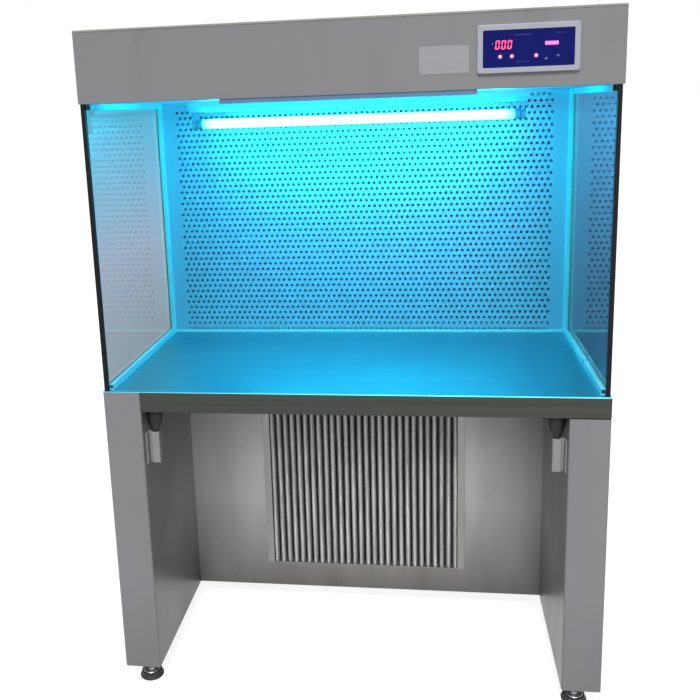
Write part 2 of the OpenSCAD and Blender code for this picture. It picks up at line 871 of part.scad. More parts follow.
// The rounded inlet on the housing's open side
module inlet_cone() {
    wall = 2;
    flange_r = inlet_r + 14;
    centre = [inlet_r + inlet_mouth, 0];
    outer = [for (a = [180 : -10 : 90]) centre + inlet_mouth * [cos(a), sin(a)]];
    inner = [for (a = [90 : 10 : 160]) centre + (inlet_mouth - wall) * [cos(a), sin(a)]];
    color(alu_c)
        translate([-blower_w / 2, wheel_y, wheel_z])
            rotate([0, -90, 0])
                rotate_extrude()
                    polygon(concat(outer, inner, [[inlet_r + wall + 0.5, wall], [flange_r, wall], [flange_r, 0]]));
}

hub_r = 20;
hub_l = 30;
wheel_plate_t = 3;

// One forward-curved blade in the plane across the axis
module blade() {
    r_in = wheel_r - blade_depth;
    steps = 5;
    function at(i, off) = let (s = i / steps, r = r_in + (wheel_r - r_in) * s, a = 14 * s * s - 4 * s)
        (r * [cos(a), sin(a)]) + off * [-sin(a + 20 - 50 * s), cos(a + 20 - 50 * s)];
    polygon(concat([for (i = [0 : steps]) at(i, 0)], [for (i = [steps : -1 : 0]) at(i, blade_t)]));
}

// The blower's wheel: forward-curved blades between a back plate and a ring
module blower_wheel() {
    x0 = -wheel_w / 2;
    color(steel_c)
        translate([0, wheel_y, wheel_z]) {
            difference() {
                union() {
                    along_x(wheel_w / 2 - wheel_plate_t, wheel_plate_t)
                        circle(wheel_r, $fn = 96);
                    along_x(wheel_w / 2 - hub_l, hub_l)
                        circle(hub_r);
                }
                along_x(wheel_w / 2 - hub_l - 1, hub_l + 2)
                    circle(shaft_r);
            }
            along_x(x0, 6)
                difference() {
                    circle(wheel_r, $fn = 96);
                    circle(inlet_r, $fn = 96);
                }
            along_x(x0 + 5, wheel_w - wheel_plate_t - 4)
                intersection() {
                    for (i = [0 : blade_count - 1])
                        rotate(i * 360 / blade_count)
                            blade();
                    circle(wheel_r - 0.5, $fn = 96);
                }
        }
}

motor_x = blower_w / 2;
shaft_x0 = wheel_w / 2 - hub_l;
shaft_in_motor = 70;

// The shaft from the motor to the wheel's hub
module motor_shaft() {
    color(steel_c)
        translate([0, wheel_y, wheel_z])
            along_x(shaft_x0, motor_x + shaft_in_motor - shaft_x0)
                circle(shaft_r);
}

// The flanged motor on the housing's closed side, with cooling ribs and a terminal box
module blower_motor() {
    color([0.30, 0.33, 0.36])
        translate([0, wheel_y, wheel_z])
            difference() {
                union() {
                    along_x(motor_x, 8)
                        circle(motor_r + 14);
                    along_x(motor_x + 7, motor_l - 20) {
                        circle(motor_r - 5);
                        for (a = [0 : 15 : 345])
                            rotate(a)
                                translate([motor_r - 8, -1.5])
                                    square([8, 3]);
                    }
                    along_x(motor_x + motor_l - 14, 14)
                        circle(motor_r);
                    translate([motor_x + 22, -30, motor_r - 12])
                        cube([60, 60, 34]);
                }
                translate([motor_x - 1, 0, 0])
                    rotate([0, 90, 0])
                        cylinder(r = shaft_r + shaft_gap, h = shaft_in_motor + 3);
            }
}

// ---------- lamp ----------

lamp_y = y_front + lamp_setback;
tube_z = z_ceiling - tube_drop;
holder_x = tube_l / 2 + holder_gap;
lamp_channel_l = 2 * (holder_x + holder_t + lamp_channel_end);
pin_gap = 6.35;
pin_r = 1.2;
pin_l = 7;

// The folded channel that carries the lamp under the ceiling
module lamp_channel() {
    w = lamp_channel_w / 2;
    h = lamp_channel_h;
    color(white_c)
        translate([0, lamp_y, z_ceiling])
            difference() {
                along_x(-lamp_channel_l / 2, lamp_channel_l)
                    polygon([[-w, 0], [-w, -h * 0.55], [-w * 0.5, -h], [w * 0.5, -h], [w, -h * 0.55], [w, 0]]);
                along_x(-lamp_channel_l / 2 + 1, lamp_channel_l - 2)
                    polygon([[-w + 1, 1], [-w + 1, -h * 0.55 + 0.5], [-w * 0.5 + 0.5, 1 - h],
                             [w * 0.5 - 0.5, 1 - h], [w - 1, -h * 0.55 + 0.5], [w - 1, 1]]);
            }
}

// A push-in lamp holder: a flat stem with a round head about the tube's axis
module lamp_holder(side) {
    drop = tube_drop - lamp_channel_h;
    color(white_c)
        mirror([side < 0 ? 1 : 0, 0, 0])
            translate([0, lamp_y, tube_z])
                difference() {
                    union() {
                        along_x(holder_x, holder_t)
                            circle(tube_r + 1);
                        along_x(holder_x + (holder_t - holder_stem_t) / 2, holder_stem_t)
                            translate([4 - tube_r, 0])
                                square([2 * (tube_r - 4), drop]);
                    }
                    along_x(holder_x - 1, pin_l + 2)
                        circle(pin_gap + pin_r + 1);
                }
}

// The fluorescent tube with its two caps and their pins, sealed as one piece
module lamp_tube() {
    cap_l = 16;
    half = tube_l / 2;
    color([0.80, 0.97, 1.0])
        translate([0, lamp_y, tube_z]) {
            rotate([0, 90, 0])
                rotate_extrude()
                    polygon([[0, -half], [tube_r - 1.5, -half], [tube_r, 1.5 - half], [tube_r, cap_l - half],
                             [tube_r - 0.6, cap_l - half], [tube_r - 0.6, half - cap_l],
                             [tube_r, half - cap_l], [tube_r, half - 1.5], [tube_r - 1.5, half], [0, half]]);
            for (side = [-1, 1], pin = [-1, 1])
                translate([side > 0 ? half - 1 : -half - pin_l, 0, pin * pin_gap])
                    rotate([0, 90, 0])
                        cylinder(r = pin_r, h = pin_l + 1, $fn = 16);
        }
}

// The angle under the header's front edge that hides the lamp from the user's eyes
module lamp_shield() {
    t = sheet_t;
    color(white_c)
        translate([0, y_front, z_ceiling])
            along_x(shield_x - shield_w / 2, shield_w)
                polygon([[2, 0], [2, -shield_h], [2 + t, -shield_h], [2 + t, -t], [fold_d, -t], [fold_d, 0]]);
}

// The lamp's ballast on the ceiling panel, inside the header
module lamp_ballast() {
    w = ballast_w / 2;
    slope = ballast_h / 4;
    color([0.85, 0.85, 0.83])
        translate([-ballast_x, lamp_y, z_ceiling + sheet_t])
            along_x(0, ballast_l)
                polygon([[-w, 0], [w, 0], [w, ballast_h - slope], [w - slope, ballast_h],
                         [slope - w, ballast_h], [-w, ballast_h - slope]]);
}

// ---------- controls ----------

bezel_x = x_side - bezel_inset;
bezel_z = z_ceiling + header_h / 2;
overlay_w = bezel_w - 2 * bezel_rim;
overlay_h = bezel_h - 2 * bezel_rim;
overlay_y = y_front - bezel_t + 2;

// The moulded bezel around the keypad, with a chamfered front edge
module control_bezel() {
    color([0.88, 0.88, 0.86])
        translate([bezel_x, 0, bezel_z])
            difference() {
                union() {
                    along_y(y_front - bezel_t, bezel_t)
                        round_rect(bezel_w - 2, bezel_h - 2, 5);
                    along_y(y_front - bezel_t + 1, bezel_t - 1)
                        round_rect(bezel_w, bezel_h, 6);
                }
                along_y(y_front - bezel_t - 1, 3)
                    round_rect(overlay_w, overlay_h, 3);
                along_y(y_front - bezel_t, bezel_t + 1)
                    round_rect(overlay_w - 8, overlay_h - 8, 2);
            }
}

// The printed keypad film on its carrier plate, let into the bezel
module keypad_overlay() {
    color([0.05, 0.10, 0.42])
        translate([bezel_x, 0, bezel_z]) {
            along_y(overlay_y - overlay_t, overlay_t)
                round_rect(overlay_w - 0.4, overlay_h - 0.4, 2.8);
            along_y(overlay_y, 6)
                round_rect(overlay_w - 8.4, overlay_h - 8.4, 1.8);
        }
}

film_y = overlay_y - overlay_t;
film_step = 0.3;
digit_w = 9.2;
digit_h = 19;
digit_step = 13;
digit_left = 66.5;
display_rise = 8.5;
digit_x0 = bezel_x - digit_left;
digit_z = bezel_z + display_rise;
level_right = 37.2;
level_x0 = bezel_x + level_right;
level_z = bezel_z + display_rise;
level_step = 4.8;

// One seven-segment digit that shows a zero: six bars with mitred gaps
module zero_digit() {
    bar = 2;
    for (sx = [-1, 1], sz = [-1, 1])
        translate([sx * (digit_w - bar) / 2, sz * digit_h / 4])
            square([bar, digit_h / 2 - 1.4], center = true);
    for (sz = [-1, 1])
        translate([0, sz * (digit_h - bar) / 2])
            square([digit_w - 2 * bar - 0.8, bar], center = true);
}

// Three lit digits and the level bars
module digit_display() {
    color([1.0, 0.25, 0.35])
        along_y(film_y - film_step, film_step) {
            for (i = [0 : 2])
                translate([digit_x0 + i * digit_step, digit_z])
                    zero_digit();
            for (i = [0 : 5])
                translate([level_x0 + i * level_step, level_z])
                    square([level_step - 0.5, 9], center = true);
        }
}

// The round indicator lights under the displays
module indicator_lights() {
    color([1.0, 0.30, 0.35])
        for (p = [[-60.5, -16.5], [-35.5, -16.5], [16.5, -16.5]])
            translate([bezel_x + p[0], film_y, bezel_z + p[1]])
                rotate([90, 0, 0])
                    cylinder(r = 2.6, h = film_step, $fn = 24);
}

// The circuit board on four spacers behind the keypad
module control_board() {
    y0 = overlay_y + 6;
    color([0.05, 0.30, 0.15])
        translate([bezel_x, 0, bezel_z]) {
            along_y(y0 + 8, 1.6)
                square([overlay_w - 20, overlay_h - 16], center = true);
            for (sx = [-1, 1], sz = [-1, 1])
                translate([sx * (overlay_w / 2 - 18), y0 + 8, sz * (overlay_h / 2 - 16)])
                    rotate([90, 0, 0])
                        cylinder(r = 3, h = 8, $fn = 24);
        }
}

// ---------- mains ----------

// The three-pole mains inlet in the lower rear cover
module mains_inlet() {
    color(dark_c)
        translate([inlet_x, y_back, inlet_z])
            difference() {
                union() {
                    along_y(0, inlet_t)
                        round_rect(50, 30, 6);
                    along_y(-28, 28)
                        round_rect(inlet_w, inlet_h, 3);
                }
                along_y(-14, 14 + inlet_t + 1)
                    difference() {
                        round_rect(inlet_w - 4, inlet_h - 4, 2);
                        square([16, 8], center = true);
                    }
            }
}

// ---------- drawing ----------

color(paint_c) pillar(-1);  // pillar_left
color(paint_c) pillar(1);  // pillar_right
lower_front_panel();
lower_floor_panel();
lower_rear_cover();
blower_deck();
worktop();
support_bracket(-1);  // support_bracket_left
support_bracket(1);  // support_bracket_right
worktop_buffer(-1);  // worktop_buffer_left
worktop_buffer(1);  // worktop_buffer_right
foot_pad(-1, -1);  // foot_pad_front_left
foot_pad(1, -1);  // foot_pad_front_right
foot_pad(-1, 1);  // foot_pad_rear_left
foot_pad(1, 1);  // foot_pad_rear_right
foot_stud(-1, -1);  // foot_stud_front_left
foot_stud(1, -1);  // foot_stud_front_right
foot_stud(-1, 1);  // foot_stud_rear_left
foot_stud(1, 1);  // foot_stud_rear_right
foot_lock_nuts();
upper_side(-1);  // upper_side_left
upper_side(1);  // upper_side_right
header_front();
ceiling_panel();
top_cover();
upper_rear_cover();
rear_cover_screws();
side_glass(-1);  // side_glass_left
side_glass(1);  // side_glass_right
glass_trim(-1);  // glass_trim_left
glass_trim(1);  // glass_trim_right
glass_channels(-1);  // glass_channels_left
glass_channels(1);  // glass_channels_right
diffuser_plate();
diffuser_stile(-1);  // diffuser_stile_left
diffuser_stile(1);  // diffuser_stile_right
filter_seat();
filter_gasket();
filter_frame();
filter_media();
filter_clamps();
prefilter_frame();
prefilter_media();
blower_housing();
inlet_cone();
blower_wheel();
motor_shaft();
blower_motor();
lamp_channel();
lamp_holder(-1);  // lamp_holder_left
lamp_holder(1);  // lamp_holder_right
lamp_tube();
lamp_shield();
lamp_ballast();
control_bezel();
keypad_overlay();
digit_display();
indicator_lights();
control_board();
mains_inlet();
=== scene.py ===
# Laminar flow clean bench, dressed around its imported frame. Metres, +Z up, the open front faces -Y.
import math
import random

import bpy
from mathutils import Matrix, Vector


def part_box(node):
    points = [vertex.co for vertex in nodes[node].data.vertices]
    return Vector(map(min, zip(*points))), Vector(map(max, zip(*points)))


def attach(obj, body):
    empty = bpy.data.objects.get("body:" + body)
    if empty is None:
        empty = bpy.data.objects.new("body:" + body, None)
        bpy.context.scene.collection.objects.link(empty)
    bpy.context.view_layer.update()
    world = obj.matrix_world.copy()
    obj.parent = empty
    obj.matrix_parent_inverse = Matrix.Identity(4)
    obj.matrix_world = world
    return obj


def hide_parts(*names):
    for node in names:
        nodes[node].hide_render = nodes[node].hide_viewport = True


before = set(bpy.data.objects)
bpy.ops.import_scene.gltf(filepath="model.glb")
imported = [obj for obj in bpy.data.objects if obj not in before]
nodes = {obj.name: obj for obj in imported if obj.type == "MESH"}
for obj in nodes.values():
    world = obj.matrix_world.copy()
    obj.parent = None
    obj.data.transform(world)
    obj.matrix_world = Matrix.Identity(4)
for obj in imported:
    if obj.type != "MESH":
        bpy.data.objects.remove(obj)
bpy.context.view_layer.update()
print("frame loaded:", len(nodes), "nodes")


# selecting and editing

def near(value, target, slack=0.0002):
    return abs(value - target) < slack


def onPlanes(start, end, planes):
    # True if both ends lie on at least two of the planes, given as (axis, value)
    return sum(near(start[axis], value) and near(end[axis], value) for axis, value in planes) >= 2


def makeActive(piece):
    bpy.ops.object.select_all(action="DESELECT")
    piece.select_set(True)
    bpy.context.view_layer.objects.active = piece


def startEdit(piece, selectMode="VERT", select="DESELECT"):
    makeActive(piece)
    bpy.ops.object.mode_set(mode="EDIT")
    bpy.ops.mesh.select_mode(type=selectMode)
    bpy.ops.mesh.select_all(action=select)


def endEdit():
    bpy.ops.object.mode_set(mode="OBJECT")


def newMesh(operator, **settings):
    bpy.ops.object.select_all(action="DESELECT")
    operator(**settings)
    return bpy.context.active_object


def newObject(name, data):
    added = bpy.data.objects.new(name, data)
    bpy.context.scene.collection.objects.link(added)
    return added


def applyPlace(piece):
    makeActive(piece)
    bpy.ops.object.transform_apply(location=True, rotation=True, scale=True)


def selectParts(piece, kind, chosen):
    # picks the vertices, edges or faces that pass the test, and leaves the piece in edit mode
    startEdit(piece, kind)
    endEdit()
    for part in {"VERT": piece.data.vertices, "EDGE": piece.data.edges, "FACE": piece.data.polygons}[kind]:
        part.select = chosen(part)
    bpy.ops.object.mode_set(mode="EDIT")


def selectEdges(piece, chosen):
    # an edge is picked by its two ends
    vertices = piece.data.vertices
    selectParts(piece, "EDGE", lambda edge: chosen(*(vertices[i].co for i in edge.vertices)))


def roundEdges(piece, radius, segments, chosen):
    selectEdges(piece, chosen)
    bpy.ops.mesh.bevel(offset=radius, segments=segments, affect="EDGES")
    endEdit()


def useModifier(piece, kind, **settings):
    # adds a modifier and applies it at once
    makeActive(piece)
    modifier = piece.modifiers.new(kind.lower(), kind)
    for key, value in settings.items():
        setattr(modifier, key, value)
    bpy.ops.object.modifier_apply(modifier=modifier.name)


def breakEdges(piece, width, segments=2):
    useModifier(piece, "BEVEL", width=width, segments=segments, limit_method="ANGLE", angle_limit=math.radians(40))


def cutAway(piece, cutter):
    useModifier(piece, "BOOLEAN", object=cutter, operation="DIFFERENCE", solver="EXACT")
    bpy.data.objects.remove(cutter)


def recalculate(piece):
    startEdit(piece, select="SELECT")
    bpy.ops.mesh.remove_doubles(threshold=0.00001)
    bpy.ops.mesh.normals_make_consistent(inside=False)
    endEdit()


def finishPiece(piece, name, material, replaced=(), smoothAngle=35, body="cabinet"):
    piece.name = name
    piece.data.name = name
    applyPlace(piece)
    bpy.ops.object.shade_smooth_by_angle(angle=math.radians(smoothAngle))
    useModifier(piece, "WEIGHTED_NORMAL", keep_sharp=True)
    if not piece.data.materials:
        piece.data.materials.append(material)
    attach(piece, body)
    if replaced:
        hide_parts(*replaced)
    return piece


def copyOfNode(nodeName):
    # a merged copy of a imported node, ready for rounding
    mesh = nodes[nodeName].data.copy()
    mesh.materials.clear()
    copied = newObject(nodeName + "Copy", mesh)
    startEdit(copied, select="SELECT")
    bpy.ops.mesh.remove_doubles(threshold=0.00002)
    bpy.ops.mesh.customdata_custom_splitnormals_clear()
    bpy.ops.mesh.dissolve_limited(angle_limit=math.radians(0.3))
    endEdit()
    return copied


def camelName(nodeName):
    first, *others = nodeName.split("_")
    return first + "".join(word.capitalize() for word in others)


def dressNode(nodeName, material, edge, segments=2, pieceName=None):
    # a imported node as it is, with its edges rounded
    piece = copyOfNode(nodeName)
    breakEdges(piece, edge, segments)
    return finishPiece(piece, pieceName or camelName(nodeName), material, [nodeName])


def joinPieces(parts):
    makeActive(parts[0])
    for part in parts[1:]:
        part.select_set(True)
    if len(parts) > 1:
        bpy.ops.object.join()
    return bpy.context.view_layer.objects.active


def copyAt(piece, place):
    copied = newObject(piece.name, piece.data.copy())
    copied.location = place
    return copied


def turned(profile, place, sides=48, axis="Z"):
    # a round piece: a disc raised and resized step by step along (radius, height) pairs
    firstRadius, firstHeight = profile[0]
    piece = newMesh(bpy.ops.mesh.primitive_circle_add, vertices=sides, radius=firstRadius, fill_type="NGON",
                    location=(0, 0, firstHeight))
    bpy.ops.object.transform_apply(location=True)
    startEdit(piece, "FACE", "SELECT")
    for (r0, z0), (r1, z1) in zip(profile, profile[1:]):
        bpy.ops.mesh.extrude_region_move(TRANSFORM_OT_translate={"value": (0, 0, z1 - z0)})
        if abs(r1 - r0) > 1e-7:
            scale = r1 / r0
            bpy.ops.transform.resize(value=(scale, scale, 1), center_override=(0, 0, z1))
    endEdit()
    recalculate(piece)
    quarter = math.pi / 2
    piece.rotation_euler = {"Z": (0, 0, 0), "X": (0, quarter, 0), "-X": (0, -quarter, 0),
                            "Y": (-quarter, 0, 0), "-Y": (quarter, 0, 0)}[axis]
    piece.location = place
    applyPlace(piece)
    return piece


def steps(radius, height, offsets):
    # part of a profile, measured off one point of it
    return [(radius + out, height + up) for out, up in offsets]


def footOf(nodeName):
    # the middle of a node's underside
    low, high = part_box(nodeName)
    return ((low[0] + high[0]) / 2, (low[1] + high[1]) / 2, low[2])


def block(low, high):
    # a block between two corners, always finished further by its caller
    low, high = Vector(low), Vector(high)
    piece = newMesh(bpy.ops.mesh.primitive_cube_add, size=1, location=(low + high) / 2)
    piece.scale = high - low
    bpy.ops.object.transform_apply(location=True, scale=True)
    return piece


def frontStrip(low, high, radius):
    # a thin strip whose front edges are rounded
    strip = block(low, high)
    roundEdges(strip, radius, 3, lambda start, end: near(start[1], low[1]) and near(end[1], low[1]))
    return strip


# shader groups

def newGroup(name, inputs, outputs):
    tree = bpy.data.node_groups.new(name, "ShaderNodeTree")
    for way, labels in (("INPUT", inputs), ("OUTPUT", outputs)):
        for label in labels:
            kind = "NodeSocketColor" if label in ("Colour", "Dusty", "Dark") else "NodeSocketFloat"
            tree.interface.new_socket(name=label, in_out=way, socket_type=kind)
    return tree, tree.nodes.new("NodeGroupInput").outputs, tree.nodes.new("NodeGroupOutput").inputs


def feed(tree, socket, value):
    # a number or colour is set on the socket, an output is linked to it
    if isinstance(value, (int, float, tuple)):
        socket.default_value = value
    else:
        tree.links.new(value, socket)


def addNode(tree, kind, **settings):
    # settings name a socket, with its spaces as underscores, or else a property of the node
    node = tree.nodes.new("ShaderNode" + kind)
    for key, value in settings.items():
        socket = key.replace("_", " ")
        if socket in node.inputs:
            feed(tree, node.inputs[socket], value)
        else:
            setattr(node, key, value)
    return node


def noise(tree, vector, scale, detail=2.0, roughness=0.5):
    return addNode(tree, "TexNoise", Vector=vector, Scale=scale, Detail=detail, Roughness=roughness).outputs["Fac"]


def ramp(tree, value, low, high, toLow=0.0, toHigh=1.0):
    node = addNode(tree, "MapRange", Value=value, From_Min=low, From_Max=high, To_Min=toLow, To_Max=toHigh)
    return node.outputs["Result"]


def calculate(tree, operation, *values):
    node = addNode(tree, "Math", operation=operation)
    for socket, value in zip(node.inputs, values):
        feed(tree, socket, value)
    return node.outputs[0]


def times(tree, first, second):
    return calculate(tree, "MULTIPLY", first, second)


def plus(tree, first, second):
    return calculate(tree, "ADD", first, second)


def swing(tree, value, amount):
    # how far a pattern departs from its middle, times the amount
    return times(tree, calculate(tree, "SUBTRACT", value, 0.5), amount)


def mixColour(tree, factor, first, second, mode="MIX"):
    node = addNode(tree, "Mix", data_type="RGBA", blend_type=mode)
    for index, value in ((0, factor), (6, first), (7, second)):  # the sockets of a colour mix
        feed(tree, node.inputs[index], value)
    return node.outputs[2]


def stretched(tree, scale):
    place = addNode(tree, "TexCoord").outputs["Object"]
    return addNode(tree, "Mapping", Vector=place, Scale=scale).outputs["Vector"]


def shaded(tree, colour, shade):
    # the colour times one shade on all three channels
    grey = addNode(tree, "CombineColor", Red=shade, Green=shade, Blue=shade).outputs[0]
    return mixColour(tree, 1.0, colour, grey, "MULTIPLY")


def placeOnAxis(tree, axis):
    return addNode(tree, "SeparateXYZ", Vector=stretched(tree, (1, 1, 1))).outputs[axis]


def putOut(tree, result, **values):
    for label, value in values.items():
        tree.links.new(value, result[label])


coatTones = {"grime": (0.13, 0.12, 0.10, 1), "dirt": (0.105, 0.10, 0.09, 1), "chip": (0.05, 0.05, 0.05, 1),
             "dirtTop": 0.34, "dirtFoot": 0.02}


def makeCoatGroup():
    # sprayed coat: fine grain, slow mottling, a little grime and a few chips
    tree, given, result = newGroup("sprayedCoat", ["Colour", "Mottling", "Grime", "Chips", "Low Dirt", "Roughness"],
                                   ["Colour", "Roughness", "Height"])
    even = stretched(tree, (1, 1, 1))
    upright = stretched(tree, (1, 1, 0.25))
    slow = noise(tree, even, 2.6, 3.0)
    streaks = noise(tree, upright, 9.0, 4.0, 0.6)
    grain = noise(tree, even, 650.0, 2.0)
    waves = noise(tree, even, 14.0, 1.0)
    specks = noise(tree, even, 70.0, 3.0, 0.7)
    shade = plus(tree, times(tree, swing(tree, slow, given["Mottling"]), 2.0), 1.0)
    toned = shaded(tree, given["Colour"], shade)
    grimeMask = times(tree, ramp(tree, streaks, 0.52, 0.78), given["Grime"])
    grimy = mixColour(tree, grimeMask, toned, coatTones["grime"])
    # the coat darkens towards the floor: partly dirt, partly painted shade
    lowDirtAndShadeMask = plus(tree, ramp(tree, placeOnAxis(tree, "Z"), coatTones["dirtTop"], coatTones["dirtFoot"]),
                   swing(tree, streaks, 0.5))
    lowDirtAndShadeMask = times(tree, ramp(tree, lowDirtAndShadeMask, 0.0, 1.0), given["Low Dirt"])
    dusty = mixColour(tree, lowDirtAndShadeMask, grimy, coatTones["dirt"])
    chipMask = times(tree, ramp(tree, specks, 0.78, 0.80), given["Chips"])
    height = plus(tree, times(tree, grain, 0.35), times(tree, waves, 0.65))
    putOut(tree, result, Colour=mixColour(tree, chipMask, dusty, coatTones["chip"]),
           Roughness=plus(tree, given["Roughness"], swing(tree, streaks, 0.16)),
           Height=calculate(tree, "SUBTRACT", height, times(tree, chipMask, 0.3)))
    return tree


def makeBrushGroup():
    # brushed metal: long fine lines along X, wiped smears across them
    tree, given, result = newGroup("brushedMetal", ["Colour", "Contrast", "Smears", "Roughness"],
                                   ["Colour", "Roughness", "Height"])
    lines = noise(tree, stretched(tree, (1.5, 420, 420)), 1.0, 4.0, 0.65)
    coarse = noise(tree, stretched(tree, (0.7, 90, 90)), 1.0, 3.0, 0.6)
    smears = noise(tree, stretched(tree, (3.0, 4.0, 4.0)), 1.0, 3.0, 0.55)
    both = plus(tree, times(tree, lines, 0.6), times(tree, coarse, 0.4))
    shade = plus(tree, swing(tree, both, given["Contrast"]), 1.0)
    rough = plus(tree, given["Roughness"], swing(tree, smears, given["Smears"]))
    putOut(tree, result, Colour=shaded(tree, given["Colour"], shade),
           Roughness=plus(tree, rough, swing(tree, lines, 0.12)), Height=both)
    return tree


def makeGrainGroup():
    # moulded or cast surface: small pits and a slow change of tone
    tree, given, result = newGroup("mouldedGrain", ["Colour", "Dusty", "Dust", "Size", "Roughness"],
                                   ["Colour", "Roughness", "Height"])
    even = stretched(tree, (1, 1, 1))
    grain = noise(tree, even, given["Size"], 3.0)
    slow = noise(tree, even, 22.0, 3.0, 0.6)
    dustMask = times(tree, ramp(tree, slow, 0.45, 0.75), given["Dust"])
    putOut(tree, result, Colour=mixColour(tree, dustMask, given["Colour"], given["Dusty"]),
           Roughness=plus(tree, given["Roughness"], swing(tree, slow, 0.2)), Height=grain)
    return tree


def makeFibreGroup():
    # non-woven mat: crossed fibres, with painted shade deeper in its folds
    tree, given, result = newGroup("matFibres", ["Colour", "Dark", "Contrast", "Fold Front", "Fold Depth", "Fold Dust"],
                                   ["Colour", "Height"])
    steep = noise(tree, stretched(tree, (900, 900, 130)), 1.0, 4.0, 0.7)
    flat = noise(tree, stretched(tree, (200, 900, 700)), 1.0, 4.0, 0.7)
    patches = noise(tree, stretched(tree, (30, 30, 9)), 1.0, 3.0, 0.6)
    both = calculate(tree, "MAXIMUM", steep, flat)
    dark = times(tree, ramp(tree, both, 0.62, 0.42), given["Contrast"])
    dark = plus(tree, dark, times(tree, ramp(tree, patches, 0.45, 0.8), 0.25))
    inward = calculate(tree, "SUBTRACT", placeOnAxis(tree, "Y"), given["Fold Front"])
    inward = calculate(tree, "DIVIDE", inward, given["Fold Depth"])
    # painted shade, darker deeper into each fold
    fold = times(tree, ramp(tree, inward, 0.04, 0.50), given["Fold Dust"])
    dark = ramp(tree, plus(tree, dark, fold), 0.0, 1.0)
    putOut(tree, result, Colour=mixColour(tree, dark, given["Colour"], given["Dark"]), Height=both)
    return tree


coatGroup = makeCoatGroup()
brushGroup = makeBrushGroup()
grainGroup = makeGrainGroup()
fibreGroup = makeFibreGroup()


def plainMaterial(name, **shaderValues):
    material = bpy.data.materials.new(name)
    material.use_nodes = True
    shader = material.node_tree.nodes["Principled BSDF"]
    for key, value in shaderValues.items():
        shader.inputs[key.replace("_", " ")].default_value = value
    return material


def groupMaterial(name, group, groupValues, bump, distance, **shaderValues):
    # one Principled shader fed by one of the shared groups
    material = plainMaterial(name, **shaderValues)
    tree = material.node_tree
    shader = tree.nodes["Principled BSDF"]
    source = tree.nodes.new("ShaderNodeGroup")
    source.node_tree = group
    for key, value in groupValues.items():
        source.inputs[key].default_value = value
    tree.links.new(source.outputs["Colour"], shader.inputs["Base Color"])
    if "Roughness" in source.outputs:
        tree.links.new(source.outputs["Roughness"], shader.inputs["Roughness"])
    bumpNode = addNode(tree, "Bump", Strength=bump, Distance=distance, Height=source.outputs["Height"])
    tree.links.new(bumpNode.outputs["Normal"], shader.inputs["Normal"])
    return material


def coat(name, colour, mottling, grime, chips, roughness, lowDirtAndShade=0.0, bump=0.15, distance=0.0003):
    values = {"Colour": colour + (1,), "Mottling": mottling, "Grime": grime, "Chips": chips, "Low Dirt": lowDirtAndShade,
              "Roughness": roughness}
    return groupMaterial(name, coatGroup, values, bump, distance)


def brushed(name, colour, contrast, smears, roughness, metallic=1.0, bump=0.1, distance=0.0002):
    values = {"Colour": colour + (1,), "Contrast": contrast, "Smears": smears, "Roughness": roughness}
    return groupMaterial(name, brushGroup, values, bump, distance, Metallic=metallic)


def moulded(name, colour, dusty, dust, size, roughness, bump=0.12, distance=0.0002, **shaderValues):
    values = {"Colour": colour + (1,), "Dusty": dusty + (1,), "Dust": dust, "Size": size, "Roughness": roughness}
    return groupMaterial(name, grainGroup, values, bump, distance, **shaderValues)


def fibrous(name, colour, dark, contrast, foldShade, bump, distance, roughness):
    front, back = (corner[1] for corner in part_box("prefilter_media"))
    values = {"Colour": colour + (1,), "Dark": dark + (1,), "Contrast": contrast, "Fold Front": front,
              "Fold Depth": back - front, "Fold Dust": foldShade}
    return groupMaterial(name, fibreGroup, values, bump, distance, Roughness=roughness)


# colour, mottling, grime, chips, roughness, then dirt and painted shade towards the floor, bump and its depth
greyCoat = coat("greyPowderCoat", (0.285, 0.28, 0.295), 0.05, 0.16, 0.5, 0.42, 0.25, 0.25, 0.0004)
# the lower box's grey paint made lighter as painted light, where the worktop shades it
litInnerCoat = coat("lowerBoxCoat", (0.43, 0.43, 0.42), 0.14, 0.14, 0.2, 0.30, 1.0, 0.25, 0.0004)
# a darker copy of the grey coat, as painted shade on the sides facing the knee space
kneeShadedCoat = coat("kneeSideShadedCoat", (0.25, 0.25, 0.245), 0.10, 0.14, 0.2, 0.34, 1.0, 0.25, 0.0004)
# the chamber's white enamel with the lamp's cyan light painted into its colour
chamberLampLitEnamel = coat("chamberLampLitEnamel", (0.165, 0.46, 0.66), 0.03, 0.06, 0.0, 0.34)
# painted bright cyan lamp light on the white channels and the sill
channelEnamel = coat("channelEnamel", (0.24, 0.78, 0.90), 0.03, 0.05, 0.0, 0.30, bump=0.12)
# the shield's grey paint with painted shade and a painted blue glow from the lamp
shieldEnamel = coat("shieldEnamel", (0.15, 0.27, 0.46), 0.05, 0.1, 0.1, 0.40)
paleEnamel = coat("paleEnamel", (0.36, 0.36, 0.36), 0.04, 0.2, 0.2, 0.36, bump=0.2)
motorEnamel = coat("motorEnamel", (0.08, 0.10, 0.12), 0.2, 0.3, 0.6, 0.45, bump=0.4, distance=0.0006)
# a painted highlight along the top cover's folded lip
lipCoat = coat("lipCoat", (0.40, 0.38, 0.345), 0.2, 0.4, 0.8, 0.4, bump=0.2)

# colour, contrast of the lines, smears, roughness, then metallic, bump and its depth
# the steel's grey with a painted cyan reflection of the lit chamber
worktopSteel = brushed("worktopSteel", (0.11, 0.56, 0.68), 0.45, 0.2, 0.44, bump=0.2)
# the same steel darkened as a painted dark reflection
apronSteel = brushed("apronSteel", (0.064, 0.068, 0.060), 1.1, 0.2, 0.33, bump=0.15)
aluminium = brushed("millAluminium", (0.55, 0.56, 0.55), 0.25, 0.1, 0.42)
dullAluminium = brushed("dullAluminium", (0.30, 0.30, 0.29), 0.3, 0.2, 0.5, 0.85, 0.15)
silverFilm = brushed("silverFilm", (0.34, 0.34, 0.36), 0.15, 0.2, 0.45, 0.35, 0.05, 0.0001)
pinBrass = brushed("pinBrass", (0.72, 0.52, 0.24), 0.2, 0.1, 0.3, distance=0.0001)

